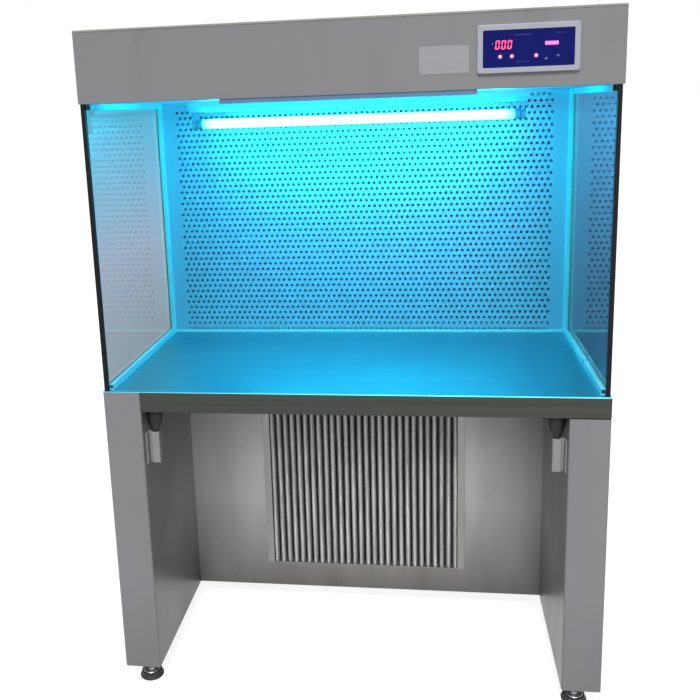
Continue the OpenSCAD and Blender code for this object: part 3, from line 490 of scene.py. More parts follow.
# colour, dusty colour, dust, size of the grain, roughness, then bump and its depth
zincSteel = moulded("zincSteel", (0.52, 0.53, 0.54), (0.30, 0.31, 0.32), 0.6, 120.0, 0.34, 0.1, Metallic=1.0)
blackRubber = moulded("blackRubber", (0.012, 0.012, 0.013), (0.06, 0.06, 0.055), 0.5, 420.0, 0.62, 0.3, 0.0003)
trimRubber = moulded("trimRubber", (0.003, 0.003, 0.006), (0.012, 0.012, 0.015), 0.3, 420.0, 0.5, 0.2,
                     Specular_IOR_Level=0.2)
# painted shade, tinted blue by the lamp's light, on the holders and tube caps
holderPlastic = moulded("holderPlastic", (0.08, 0.26, 0.40), (0.06, 0.18, 0.28), 0.4, 700.0, 0.45)
bezelPlastic = moulded("bezelPlastic", (0.50, 0.52, 0.60), (0.40, 0.41, 0.46), 0.4, 700.0, 0.36)
blackPlastic = moulded("blackPlastic", (0.015, 0.015, 0.017), (0.05, 0.05, 0.05), 0.3, 500.0, 0.45, 0.2)
keypadFilm = moulded("keypadFilm", (0.001, 0.006, 0.15), (0.002, 0.010, 0.19), 0.5, 900.0, 0.42, 0.06, 0.0001,
                     Specular_IOR_Level=0.12)
boardGreen = moulded("boardGreen", (0.01, 0.10, 0.04), (0.02, 0.16, 0.07), 0.5, 200.0, 0.35, 0.1)

# colour, dark colour, contrast of the fibres, painted shade in the folds, bump and its depth, roughness
# painted cyan lamp light on the filter paper seen through the holes
filterPaper = fibrous("filterPaper", (0.24, 0.50, 0.88), (0.16, 0.38, 0.72), 0.3, 0.0, 0.3, 0.0003, 0.9)
filterMat = fibrous("filterMat", (0.76, 0.76, 0.76), (0.045, 0.045, 0.045), 0.40, 0.85, 0.7, 0.0008, 0.95)


def lampGlowGlass(name, *stops):
    # clear glass with the lamp's glow painted into its colour, fading down the pane
    material = plainMaterial(name, Roughness=0.0, IOR=1.5, Transmission_Weight=1.0)
    tree = material.node_tree
    height = placeOnAxis(tree, "Z")
    colour = stops[0] + (1,)
    for z0, z1, upper in zip(paneHeights, paneHeights[1:], stops[1:]):
        colour = mixColour(tree, ramp(tree, height, z0, z1), colour, upper + (1,))
    tree.links.new(colour, tree.nodes["Principled BSDF"].inputs["Base Color"])
    return material


paneHeights = (0.83, 1.15, 1.54)
# the two panes are painted lit and painted shaded copies of one glass
leftLitGlass = lampGlowGlass("leftPaneGlass", (0.31, 0.32, 0.31), (0.40, 0.43, 0.50), (0.10, 0.46, 0.62))
rightShadedGlass = lampGlowGlass("rightPaneGlass", (0.035, 0.055, 0.09), (0.055, 0.085, 0.16), (0.10, 0.24, 0.46))

tubeGlow = {"strength": 34.0, "middle": (0.034, 0.86, 0.92, 1), "ends": (0.001, 0.02, 0.06, 1),
            "fadeFrom": 0.395, "fadeTo": 0.432}


def makeTubeGlow():
    # a lit tube whose coating darkens towards its two ends
    material = plainMaterial("litTube", Base_Color=(0.75, 0.93, 1.0, 1), Roughness=0.35,
                             Emission_Strength=tubeGlow["strength"])
    tree = material.node_tree
    reach = calculate(tree, "ABSOLUTE", placeOnAxis(tree, "X"))
    fade = ramp(tree, reach, tubeGlow["fadeFrom"], tubeGlow["fadeTo"])
    tree.links.new(mixColour(tree, fade, tubeGlow["middle"], tubeGlow["ends"]),
                   tree.nodes["Principled BSDF"].inputs["Emission Color"])
    return material


def lit(name, colour, glow, strength):
    return plainMaterial(name, Base_Color=colour + (1,), Roughness=0.4, Emission_Color=glow + (1,),
                         Emission_Strength=strength)


litTube = makeTubeGlow()
litRed = lit("litRed", (0.9, 0.08, 0.15), (1.0, 0.06, 0.20), 1.5)
litPink = lit("litPink", (0.9, 0.2, 0.6), (1.0, 0.12, 0.50), 1.4)
litDot = lit("litDot", (0.9, 0.2, 0.3), (1.0, 0.30, 0.55), 1.8)
markInk = plainMaterial("markInk", Base_Color=(0.40, 0.50, 0.75, 1), Roughness=0.5)
faintInk = plainMaterial("faintInk", Base_Color=(0.010, 0.025, 0.26, 1), Roughness=0.5)
# painted glow of the indicator lights round their dots
haloFilm = plainMaterial("haloFilm", Base_Color=(0.05, 0.0, 0.10, 1), Roughness=0.5,
                         Emission_Color=(0.55, 0.0, 0.35, 1), Emission_Strength=0.12)
print("materials made:", len(bpy.data.materials))


# folded sheet of the cabinet

sheetFolds = {"outerRadius": 0.0028, "thinRadius": 0.0014, "shieldRadius": 0.0006, "segments": 4, "cutEdge": 0.0006}


def foldedSheet(nodeName, material, corners, radius, pieceName=None):
    # rounds the outer folds of a sheet node where two of its outer planes meet, such as y0 and z1
    piece = copyOfNode(nodeName)
    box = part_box(nodeName)
    axes = [("xyz".index(side), int(end)) for side, end in corners.split()]
    planes = [(axis, box[end][axis]) for axis, end in axes]
    roundEdges(piece, radius, sheetFolds["segments"], lambda start, end: onPlanes(start, end, planes))
    return finishPiece(piece, pieceName or camelName(nodeName), material, [nodeName])


foldedSheet("header_front", greyCoat, "x0 x1 y0 y1 z0 z1", sheetFolds["outerRadius"], "headerFascia")
foldedSheet("lamp_shield", shieldEnamel, "x0 x1 y0 y1 z0 z1", sheetFolds["shieldRadius"])
foldedSheet("top_cover", greyCoat, "x0 x1 z1", sheetFolds["thinRadius"])
foldedSheet("ceiling_panel", chamberLampLitEnamel, "y0 z0", sheetFolds["thinRadius"], "chamberCeiling")
foldedSheet("upper_side_left", greyCoat, "x0 z1 y1", sheetFolds["outerRadius"])
foldedSheet("upper_side_right", greyCoat, "x1 z1 y1", sheetFolds["outerRadius"])
foldedSheet("lower_front_panel", litInnerCoat, "y0 z0 z1", sheetFolds["thinRadius"])
foldedSheet("lower_floor_panel", litInnerCoat, "z0 y1", sheetFolds["thinRadius"])

for nodeName in ("pillar_left", "pillar_right", "lower_rear_cover", "upper_rear_cover"):
    sheet = copyOfNode(nodeName)
    breakEdges(sheet, sheetFolds["cutEdge"])
    if nodeName.startswith("pillar"):  # the sides towards the knee space get a darker copy of the coat as painted shade
        low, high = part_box(nodeName)
        innerX = min(low[0], high[0], key=abs)
        sheet.data.materials.append(greyCoat)
        sheet.data.materials.append(kneeShadedCoat)
        for face in sheet.data.polygons:
            face.material_index = 1 if near(face.center[0], innerX) else 0
    finishPiece(sheet, camelName(nodeName), greyCoat, [nodeName])
print("cabinet sheets dressed")


# worktop: brushed along its width, with a painted cyan reflection on the top and a painted dark reflection on the apron

worktopSizes = {"foldRadius": 0.0035, "segments": 5, "apronDepth": 0.006, "topDepth": 0.004}


def makeWorktop():
    piece = copyOfNode("worktop")
    low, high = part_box("worktop")
    planes = [(1, low[1]), (2, high[2]), (2, low[2]), (0, high[0])]
    roundEdges(piece, worktopSizes["foldRadius"], worktopSizes["segments"],
               lambda start, end: onPlanes(start, end, planes))
    piece.data.materials.append(worktopSteel)
    piece.data.materials.append(apronSteel)
    frontLimit = low[1] + worktopSizes["apronDepth"]
    # the top faces get the painted cyan reflection, the apron faces the painted dark one
    for face in piece.data.polygons:
        isFront = face.center[1] < frontLimit and face.center[2] < high[2] - worktopSizes["foldRadius"]
        face.material_index = 1 if isFront or face.center[2] < high[2] - worktopSizes["topDepth"] else 0
    return finishPiece(piece, "worktopSheet", worktopSteel, ["worktop"])


makeWorktop()
print("worktop made")


# supports under the worktop: a rubber buffer in a welded bracket

bufferSizes = {
    "sides": 48, "stud": 0.005, "studLength": 0.030, "tip": 0.009, "taper": 0.042, "taperSteps": 8, "bulge": 0.0018,
    "inset": 0.0004, "lip": [(-0.001, 0), (0, 0.001), (0.0006, 0.006)],
    "groove": [(0, 0.004), (0, 0.010), (-0.0012, 0.011), (-0.0012, 0.014), (0, 0.015)],
    "crown": [(0, -0.003), (-0.0009, -0.0009), (-0.003, 0)], "smooth": 50}


def makeBuffer(side):
    nodeName = "worktop_buffer_" + side
    low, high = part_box(nodeName)
    head, tip, taper = (high[0] - low[0]) / 2, bufferSizes["tip"], bufferSizes["taper"]
    stud, studLength = bufferSizes["stud"], bufferSizes["studLength"]
    profile = [(stud, 0), (stud, studLength)] + steps(tip, studLength, bufferSizes["lip"])
    for step in range(bufferSizes["taperSteps"]):  # the bulged taper
        share = (step + 1) / bufferSizes["taperSteps"]
        bulge = math.sin(share * math.pi) * bufferSizes["bulge"] - bufferSizes["inset"]
        profile.append((tip + (head - tip) * share + bulge, studLength + taper * share))
    profile += steps(head, studLength + taper, bufferSizes["groove"])
    profile += steps(head, high[2] - low[2], bufferSizes["crown"])
    piece = turned(profile, footOf(nodeName), bufferSizes["sides"])
    finishPiece(piece, camelName(nodeName), blackRubber, [nodeName], bufferSizes["smooth"])


bracketSizes = {"edge": 0.0008, "segments": 3}

for side in ("left", "right"):
    makeBuffer(side)
    dressNode("support_bracket_" + side, paleEnamel, bracketSizes["edge"], bracketSizes["segments"])
print("worktop supports made")


# levelling feet

footSizes = {
    "sides": 64, "plate": 0.023, "stud": 0.006, "studSides": 32, "padSmooth": 45, "studSmooth": 30,
    "threadStart": 0.0085, "threadEnd": 0.003, "threadPitch": 0.00175, "threadDepth": 0.0009,
    "tread": [(-0.003, 0), (-0.0012, 0.0004), (-0.0002, 0.0016), (0, 0.003)],
    "rim": [(0.0042, -0.0008), (0.003, 0), (0.0002, -0.0001), (0, -0.0015)],
    "plateEdge": [(-0.0006, 0), (0, 0.0006), (0, 0.0022), (-0.0008, 0.003)],
    "collar": [(0.003, 0.003), (0.0022, 0.0045), (0.002, 0.006), (0, 0.007)], "studTip": [(0, -0.0015), (-0.0012, 0)],
    "flank": [(0, 0.26), (0.0012, 0.33), (0.0032, 0.5), (0.0042, 0.68), (0.0046, 0.84)]}
footCorners = ("front_left", "front_right", "rear_left", "rear_right")


def makeFoot(corner):
    padNode, studNode, body = "foot_pad_" + corner, "foot_stud_" + corner, "foot_" + corner
    low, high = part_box(padNode)
    radius, height = (high[0] - low[0]) / 2, high[2] - low[2]
    plate, stud = footSizes["plate"], footSizes["stud"]
    profile = steps(radius, 0, footSizes["tread"])
    profile += [(radius - inward, height * share) for inward, share in footSizes["flank"]]
    profile += steps(plate, height, footSizes["rim"])
    padFoot = footOf(padNode)
    pad = turned(profile, padFoot, footSizes["sides"])
    finishPiece(pad, "footPad_" + corner, blackRubber, [padNode], footSizes["padSmooth"], body)
    low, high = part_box(studNode)
    length = high[2] - low[2]
    profile = steps(plate, 0, footSizes["plateEdge"]) + steps(stud, 0, footSizes["collar"])
    z = footSizes["threadStart"]
    while z < length - footSizes["threadEnd"]:  # rolled thread
        profile += [(stud, z), (stud - footSizes["threadDepth"], z + footSizes["threadPitch"] / 2)]
        z += footSizes["threadPitch"]
    profile += steps(stud, length, footSizes["studTip"])
    rod = turned(profile, (padFoot[0], padFoot[1], low[2]), footSizes["studSides"])
    finishPiece(rod, "footStud_" + corner, zincSteel, [studNode], footSizes["studSmooth"], body)


nutSizes = {
    "acrossFlats": 0.019, "height": 0.008, "chamfer": 0.0012, "chamferRise": 0.00072, "bore": 0.00605,
    "boreSides": 32, "overrun": 0.001, "smooth": 30}


def makeNuts():
    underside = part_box("foot_lock_nuts")[0][2]
    radius = nutSizes["acrossFlats"] / math.sqrt(3)
    height, rise, bore = nutSizes["height"], nutSizes["chamferRise"], nutSizes["bore"]
    nuts = []
    for corner in footCorners:
        x, y, _ = footOf("foot_pad_" + corner)
        nut = turned([(radius - nutSizes["chamfer"], 0), (radius, rise), (radius, height - rise),
                      (radius - nutSizes["chamfer"], height)], (x, y, underside), 6)
        cutAway(nut, turned([(bore, -nutSizes["overrun"]), (bore, height + nutSizes["overrun"])],
                            (x, y, underside), nutSizes["boreSides"]))
        nuts.append(nut)
    finishPiece(joinPieces(nuts), "footLockNuts", zincSteel, ["foot_lock_nuts"],
                nutSizes["smooth"])


for corner in footCorners:
    makeFoot(corner)
makeNuts()
print("feet made")


# side glass with its channels and front trim

glassSizes = {"arris": 0.0007, "trimEdge": 0.0008, "trimSegments": 3, "channelEdge": 0.0003}

for side, glass in (("left", leftLitGlass), ("right", rightShadedGlass)):
    for nodeStart, material, slotName, edge, segments in (
            ("side_glass_", glass, "clear_glass", glassSizes["arris"], 2),
            ("glass_trim_", trimRubber, "black_rubber", glassSizes["trimEdge"], glassSizes["trimSegments"]),
            ("glass_channels_", channelEnamel, "white_enamel", glassSizes["channelEdge"], 2),
            ("diffuser_stile_", chamberLampLitEnamel, "white_enamel", glassSizes["channelEdge"], 2)):
        dressNode(nodeStart + side, material, edge, segments)
print("side glass dressed")


# perforated diffuser with its full count of holes

diffuserSizes = {
    "columns": 69, "rows": 41, "pitch": 0.0163, "rowPitch": 0.0173, "holeRadius": 0.0041, "sheet": 0.0015,
    "smooth": 40, "sillHeight": 0.008, "sillDepth": 0.0025, "sillEdge": 0.0008}


def flatCell(width, height):
    cell = newMesh(bpy.ops.mesh.primitive_plane_add, size=1)
    cell.scale = (width, height, 1)
    bpy.ops.object.transform_apply(scale=True)
    return cell


def perforatedCell():
    # one flat cell: eight spokes round its centre, whose bevelled point becomes the hole
    centre = 0.0001
    cell = flatCell(diffuserSizes["pitch"], diffuserSizes["rowPitch"])
    startEdit(cell, "FACE", "SELECT")
    bpy.ops.mesh.subdivide(number_cuts=1)
    bpy.ops.mesh.dissolve_faces(use_verts=False)
    bpy.ops.mesh.poke()
    endEdit()
    selectParts(cell, "VERT", lambda vertex: vertex.co.length < centre)
    bpy.ops.mesh.bevel(offset=diffuserSizes["holeRadius"], offset_type="OFFSET", affect="VERTICES")
    endEdit()
    selectParts(cell, "FACE", lambda face: face.center.length < centre)
    bpy.ops.mesh.delete(type="FACE")
    endEdit()
    return cell


def plainHalfCell():
    # a narrow cell with no hole, for the two ends of a row of 68
    half = flatCell(diffuserSizes["pitch"] / 2, diffuserSizes["rowPitch"])
    selectEdges(half, lambda start, end: near(start[0], end[0], 1e-6))
    bpy.ops.mesh.subdivide(number_cuts=1)
    endEdit()
    return half


def repeatPiece(piece, count, step):
    useModifier(piece, "ARRAY", count=count, use_relative_offset=False, use_constant_offset=True,
                constant_offset_displace=step)


def makeHoleField(width, height):
    # rows of 68 holes between two plain half cells take turns with rows of 69
    columns, rows = diffuserSizes["columns"], diffuserSizes["rows"]
    pitch, rowPitch = diffuserSizes["pitch"], diffuserSizes["rowPitch"]
    cell = perforatedCell()
    half = plainHalfCell()
    parts = []
    for parity in (0, 1):
        holeCount = columns - 1 + parity
        rowY = -height / 2 + rowPitch / 2 + parity * rowPitch
        strips = [copyAt(cell, (-(holeCount - 1) * pitch / 2, rowY, 0))]
        repeatPiece(strips[0], holeCount, (pitch, 0, 0))
        if parity == 0:
            strips += [copyAt(half, (sign * (width / 2 - pitch / 4), rowY, 0)) for sign in (-1, 1)]
        for strip in strips:
            repeatPiece(strip, (rows + 1 - parity) // 2, (0, 2 * rowPitch, 0))
        parts += strips
    for template in (cell, half):
        bpy.data.objects.remove(template)
    field = joinPieces(parts)
    bpy.ops.object.transform_apply(location=True)
    recalculate(field)
    return field


def makeDiffuser():
    low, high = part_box("diffuser_plate")
    middle = (low + high) / 2
    middle[2] = (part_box("worktop")[1][2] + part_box("ceiling_panel")[0][2]) / 2
    width = diffuserSizes["columns"] * diffuserSizes["pitch"]
    height = diffuserSizes["rows"] * diffuserSizes["rowPitch"]
    plate = makeHoleField(width, height)
    # the outline grows to the plate's edges, then folds to the rear
    slack = 1e-5
    selectEdges(plate, lambda start, end: any(
        near(abs(start[axis]), limit, slack) and near(start[axis], end[axis], slack)
        for axis, limit in ((0, width / 2), (1, height / 2))))
    bpy.ops.mesh.extrude_edges_move(TRANSFORM_OT_translate={"value": (0, 0, 0)})
    endEdit()
    for vertex in plate.data.vertices:
        if vertex.select:
            if near(abs(vertex.co[0]), width / 2, slack):
                vertex.co[0] = math.copysign((high[0] - low[0]) / 2, vertex.co[0])
            if near(abs(vertex.co[1]), height / 2, slack):
                vertex.co[1] = (high if vertex.co[1] > 0 else low)[2] - middle[2]
    bpy.ops.object.mode_set(mode="EDIT")
    bpy.ops.mesh.extrude_edges_move(TRANSFORM_OT_translate={"value": (0, 0, low[1] - high[1])})
    endEdit()
    plate.rotation_euler = (math.pi / 2, 0, 0)
    plate.location = (middle[0], low[1], middle[2])
    applyPlace(plate)
    recalculate(plate)
    # its front must face the chamber before it gets its thickness
    if sum(face.normal[1] for face in plate.data.polygons if abs(face.normal[1]) > 0.9) > 0:
        startEdit(plate, "FACE", "SELECT")
        bpy.ops.mesh.flip_normals()
        endEdit()
    useModifier(plate, "SOLIDIFY", thickness=diffuserSizes["sheet"], offset=-1.0)
    finishPiece(plate, "perforatedDiffuser", chamberLampLitEnamel, ["diffuser_plate"],
                diffuserSizes["smooth"])


def makeSill():
    # the thin ledge that holds the diffuser's foot
    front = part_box("diffuser_plate")[0][1]
    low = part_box("worktop")[1][2]
    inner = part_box("glass_channels_right")[0][0]
    sill = frontStrip((-inner, front - diffuserSizes["sillDepth"], low),
                      (inner, front, low + diffuserSizes["sillHeight"]), diffuserSizes["sillEdge"])
    finishPiece(sill, "diffuserSill", channelEnamel)


makeDiffuser()
makeSill()


# pre-filter: a pleated mat in an aluminium frame

matSizes = {
    "pleats": 28, "stepsPerPleat": 12, "rows": 40, "thickness": 0.003, "sideGap": 0.001, "endGap": 0.0005,
    "rearGap": 0.001, "frontGap": 0.0008, "ridge": 0.62, "dent": 0.0016, "wobble": 0.0012, "slowSway": 3.1,
    "fastSway": 9.0, "fastShare": 0.5, "phases": 6.28, "seed": 7, "smooth": 60, "frameEdge": 0.0003}


def makePleatedMat():
    low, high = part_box("prefilter_media")
    width, depth, height = high - low
    pleats, fastShare = matSizes["pleats"], matSizes["fastShare"]
    mat = newMesh(bpy.ops.mesh.primitive_grid_add, x_subdivisions=pleats * matSizes["stepsPerPleat"],
                  y_subdivisions=matSizes["rows"], size=1)
    mat.scale = (width - 2 * matSizes["sideGap"], height - 2 * matSizes["endGap"], 1)
    mat.rotation_euler = (math.pi / 2, 0, 0)
    mat.location = (low + high) / 2
    applyPlace(mat)
    random.seed(matSizes["seed"])
    leans, phases, dents = ([random.uniform(lowest, highest) for _ in range(pleats + 1)]
                            for lowest, highest in ((-1, 1), (0, matSizes["phases"]), (0, 1)))
    pitch = width / pleats
    travel = depth - matSizes["thickness"] - matSizes["rearGap"]
    for vertex in mat.data.vertices:
        place = (vertex.co[0] - low[0]) / pitch
        index = min(int(place), pleats - 1)
        share = place - index
        wave = abs(math.sin(math.pi * share)) ** matSizes["ridge"]
        up = (vertex.co[2] - low[2]) / height
        fade = math.sin(math.pi * share) ** 2
        sway = leans[index] * math.sin(matSizes["slowSway"] * up + phases[index])
        sway += fastShare * math.sin(matSizes["fastSway"] * up + phases[int(round(place)) % pleats])
        vertex.co[0] += matSizes["wobble"] * sway * fade
        vertex.co[1] = low[1] + matSizes["frontGap"] + travel * (1 - wave) + fade * dents[index] * matSizes["dent"]
    useModifier(mat, "SOLIDIFY", thickness=matSizes["thickness"], offset=-1.0)
    recalculate(mat)
    finishPiece(mat, "pleatedMat", filterMat, ["prefilter_media"], matSizes["smooth"])


makePleatedMat()
dressNode("prefilter_frame", dullAluminium, matSizes["frameEdge"])
print("pre-filter made")


# lamp

lampSizes = {
    "glass": 0.0127, "cap": 0.013, "capLength": 0.016, "pinLength": 0.007, "pinSunk": 0.001, "pinGap": 0.00635,
    "sides": 48, "pinSides": 16, "smooth": 40, "glassEnd": [(-0.001, -0.004), (0, -0.002), (0, 0.02)],
    "capSteps": [(-0.0015, -0.0008), (-0.0004, 0), (0, 0.0008), (0, 0.012), (-0.0006, 0.0145), (-0.002, 0.016)],
    "pinSteps": [(0.0012, 0), (0.0012, 0.0068), (0.0009, 0.0076), (0.0004, 0.008)], "channelEdge": 0.0004,
    "holderEdge": 0.0009}


def makeLamp():
    low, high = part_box("lamp_tube")
    middle = (low + high) / 2
    half = (high[0] - low[0]) / 2 - lampSizes["pinLength"]
    inner = half - lampSizes["capLength"]
    profile = steps(lampSizes["glass"], -inner, lampSizes["glassEnd"])
    profile += [(radius, -x) for radius, x in reversed(profile)]
    glassTube = turned(profile, middle, lampSizes["sides"], "X")
    finishPiece(glassTube, "lampTubeGlass", litTube, ["lamp_tube"], lampSizes["smooth"], "lamp")
    caps, pins = [], []
    for sign, axis in ((-1, "-X"), (1, "X")):
        caps.append(turned(steps(lampSizes["cap"], 0, lampSizes["capSteps"]),
                           (middle[0] + sign * inner, middle[1], middle[2]), lampSizes["sides"], axis))
        for gap in (-lampSizes["pinGap"], lampSizes["pinGap"]):
            place = (middle[0] + sign * (half - lampSizes["pinSunk"]), middle[1], middle[2] + gap)
            pins.append(turned(lampSizes["pinSteps"], place, lampSizes["pinSides"], axis))
    finishPiece(joinPieces(caps), "lampTubeCaps", holderPlastic, body="lamp")
    finishPiece(joinPieces(pins), "lampTubePins", pinBrass, body="lamp")


makeLamp()
dressNode("lamp_channel", chamberLampLitEnamel, lampSizes["channelEdge"])
for side in ("left", "right"):
    dressNode("lamp_holder_" + side, holderPlastic, lampSizes["holderEdge"])
print("lamp made")


# control panel

panelSizes = {
    "bezelEdge": 0.0022, "bezelSegments": 4, "filmEdge": 0.0003, "slant": 0.12, "lift": 0.0004, "inkLift": 0.0002,
    "smooth": 20}
digitSizes = {
    "count": 3, "x": -0.0665, "z": 0.0085, "step": 0.013, "width": 0.0094, "height": 0.0193, "bar": 0.0027,
    "uprightGap": 0.0008, "levelGap": 0.0006}
levelSizes = {"count": 6, "x": 0.0372, "step": 0.0048, "width": 0.0043, "height": 0.0095}
dotSizes = {
    "places": [(-0.0605, -0.0165), (-0.0355, -0.0165), (0.0165, -0.0165)], "sides": 24, "smooth": 60,
    "dome": [(0.0034, 0), (0.0032, 0.0002), (0.0026, 0.0004), (0.0016, 0.0006), (0.0006, 0.0007)],
    "halo": [(0.0058, 0), (0.0054, 0.00015)], "haloSides": 32}
markSizes = {
    "arrows": [(0.038, -0.023, 1), (0.063, -0.019, -1)], "length": 0.0042, "armWidth": 0.0009, "armOut": 0.0014,
    "armLean": 55, "footWidth": 0.0008, "footDrop": 0.0022, "spot": [(0.0011, 0), (0.0009, 0.0002)],
    "spotPlace": (-0.077, 0.011), "spotSides": 16}
ruleSizes = [(-0.012, 0.0285, 0.038, 0.0022), (0.068, 0.0295, 0.024, 0.0014), (-0.012, -0.0285, 0.030, 0.0012)]
keypadLow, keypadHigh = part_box("keypad_overlay")
keypadX, keypadZ = (keypadLow[0] + keypadHigh[0]) / 2, (keypadLow[2] + keypadHigh[2]) / 2


def onKeypad(x, z):
    # a place on the keypad's face, measured from its middle
    return (keypadX + x, keypadLow[1], keypadZ + z)


def flatBar(x, z, width, height, depth, turnBy=0.0):
    # a lit or printed bar with mitred ends, standing on the keypad's face
    bar = newMesh(bpy.ops.mesh.primitive_circle_add, vertices=6, radius=0.5, fill_type="NGON")
    end, half = max(width, height) / 2, min(width, height) / 2
    outline = ((end, 0), (end - half, half), (half - end, half), (-end, 0), (half - end, -half), (end - half, -half))
    for vertex, (across, along) in zip(bar.data.vertices, outline):
        vertex.co = (across, along, 0)
    startEdit(bar, "FACE", "SELECT")
    bpy.ops.mesh.extrude_region_move(TRANSFORM_OT_translate={"value": (0, 0, depth)})
    endEdit()
    recalculate(bar)
    bar.rotation_euler = (math.pi / 2, (math.pi / 2 if height > width else 0) + turnBy, 0)
    bar.location = onKeypad(x, z)
    applyPlace(bar)
    return bar


def makeDisplay():
    digits = []
    width, height, bar, z = (digitSizes[key] for key in ("width", "height", "bar", "z"))
    upright, level = height / 2 - digitSizes["uprightGap"], width - bar - digitSizes["levelGap"]
    lift = panelSizes["lift"]
    for index in range(digitSizes["count"]):
        x = digitSizes["x"] + index * digitSizes["step"]
        for sign in (-1, 1):
            for up in (-1, 1):
                digits.append(flatBar(x + sign * (width - bar) / 2, z + up * height / 4, bar, upright, lift))
            digits.append(flatBar(x, z + sign * (height - bar) / 2, level, bar, lift))
    joined = joinPieces(digits)
    for vertex in joined.data.vertices:  # the digits lean to the right
        vertex.co[0] += (vertex.co[2] - keypadZ - z) * panelSizes["slant"]
    levels = [flatBar(levelSizes["x"] + index * levelSizes["step"], z, levelSizes["width"], levelSizes["height"], lift)
              for index in range(levelSizes["count"])]
    for piece, pieceName, material in ((joined, "litDigits", litRed), (joinPieces(levels), "litLevels", litPink)):
        finishPiece(piece, pieceName, material, ["digit_display"], panelSizes["smooth"])


def makeDots(pieceName, profile, sides, material, replaced, smoothAngle):
    dots = [turned(profile, onKeypad(x, z), sides, "-Y") for x, z in dotSizes["places"]]
    finishPiece(joinPieces(dots), pieceName, material, replaced, smoothAngle)


def makePrint():
    ink, length = panelSizes["inkLift"], markSizes["length"]
    marks = []
    for x, z, direction in markSizes["arrows"]:
        for sign in (-1, 1):
            marks.append(flatBar(x + sign * markSizes["armOut"], z, length, markSizes["armWidth"], ink,
                                 sign * direction * math.radians(markSizes["armLean"])))
        marks.append(flatBar(x, z - markSizes["footDrop"] * direction, length, markSizes["footWidth"], ink))
    marks.append(turned(markSizes["spot"], onKeypad(*markSizes["spotPlace"]), markSizes["spotSides"], "-Y"))
    rules = [flatBar(x, z, width, height, ink) for x, z, width, height in ruleSizes]
    for parts, pieceName, material in ((marks, "keypadMarks", markInk), (rules, "keypadRules", faintInk)):
        finishPiece(joinPieces(parts), pieceName, material, smoothAngle=panelSizes["smooth"])


dressNode("control_bezel", bezelPlastic, panelSizes["bezelEdge"], panelSizes["bezelSegments"])
dressNode("keypad_overlay", keypadFilm, panelSizes["filmEdge"], pieceName="keypadFace")
makeDisplay()
makeDots("indicatorDots", dotSizes["dome"], dotSizes["sides"], litDot, ["indicator_lights"],
         dotSizes["smooth"])
makePrint()
makeDots("displayHalos", dotSizes["halo"], dotSizes["haloSides"], haloFilm, (), panelSizes["smooth"])

blankPlate = {"x": 0.2345, "z": 1.613, "width": 0.109, "height": 0.060, "thickness": 0.0004, "corner": 0.003,
              "segments": 5, "smooth": 30}


def makeBlankPlate():
    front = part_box("header_front")[0][1]
    x, z = blankPlate["x"], blankPlate["z"]
    w, h = blankPlate["width"] / 2, blankPlate["height"] / 2
    plate = block((x - w, front - blankPlate["thickness"], z - h), (x + w, front, z + h))
    roundEdges(plate, blankPlate["corner"], blankPlate["segments"],
               lambda start, end: near(start[0], end[0]) and near(start[2], end[2]))
    finishPiece(plate, "headerBlankPlate", silverFilm, smoothAngle=blankPlate["smooth"])


makeBlankPlate()

lipSizes = {"height": 0.0045, "thickness": 0.0008, "inset": 0.001, "edge": 0.0006}


def makeHeaderLip():
    # the folded lip of the top cover, painted pale as a highlight along its fold
    low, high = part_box("header_front")
    front, top, inset = low[1], high[2] - lipSizes["inset"], lipSizes["inset"]
    lip = frontStrip((low[0] + inset, front - lipSizes["thickness"], top - lipSizes["height"]),
                     (high[0] - inset, front, top), lipSizes["edge"])
    finishPiece(lip, "headerLip", lipCoat)


makeHeaderLip()
print("control panel made")


# fixings and inlet at the rear

screwSizes = {
    "head": 0.0042, "headHeight": 0.0026, "shank": 0.002, "shankLength": 0.0015, "sides": 24, "slot": 0.0009,
    "slotLength": 0.0026, "slotDepth": 0.0014, "overrun": 0.001, "smooth": 30, "crownFrom": 0.0024, "spacing": 0.012,
    "headSteps": [(-0.0002, 0), (0, 0.0003), (0, 0.0011), (-0.0004, 0.0018), (-0.0013, 0.0024), (-0.0024, 0.0026)]}


def screwPlaces(back):
    # the middle of each packed screw, found from its own vertices
    spacing = screwSizes["spacing"]
    vertices = [vertex.co for vertex in nodes["rear_cover_screws"].data.vertices]
    centres = []
    for place in vertices:
        if place[1] > back + screwSizes["crownFrom"] and all((place - seen).length >= spacing for seen in centres):
            centres.append(place)
    groups = [[] for _ in centres]
    for place in vertices:
        for index, seen in enumerate(centres):
            if abs(place[0] - seen[0]) < spacing and abs(place[2] - seen[2]) < spacing:
                groups[index].append(place)
                break
    return [tuple((min(p[axis] for p in members) + max(p[axis] for p in members)) / 2 for axis in (0, 2))
            for members in groups]


def makeScrews():
    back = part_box("rear_cover_screws")[1][1] - screwSizes["headHeight"]
    shank, height = screwSizes["shank"], screwSizes["headHeight"]
    profile = [(shank, -screwSizes["shankLength"]), (shank, 0)] + steps(screwSizes["head"], 0, screwSizes["headSteps"])
    model = turned(profile, (0, 0, 0), screwSizes["sides"], "Y")
    slot, reach = screwSizes["slot"] / 2, screwSizes["slotLength"]
    for halfX, halfZ in ((reach, slot), (slot, reach)):
        cutAway(model, block((-halfX, height - screwSizes["slotDepth"], -halfZ),
                             (halfX, height + screwSizes["overrun"], halfZ)))
    screws = [copyAt(model, (x, back, z)) for x, z in screwPlaces(back)]
    bpy.data.objects.remove(model)
    print("screws placed:", len(screws))
    finishPiece(joinPieces(screws), "rearCoverScrews", zincSteel, ["rear_cover_screws"],
                screwSizes["smooth"])


makeScrews()

inletSizes = {"edge": 0.0007, "segments": 3}

dressNode("mains_inlet", blackPlastic, inletSizes["edge"], inletSizes["segments"])


# materials of the nodes that stay as they are

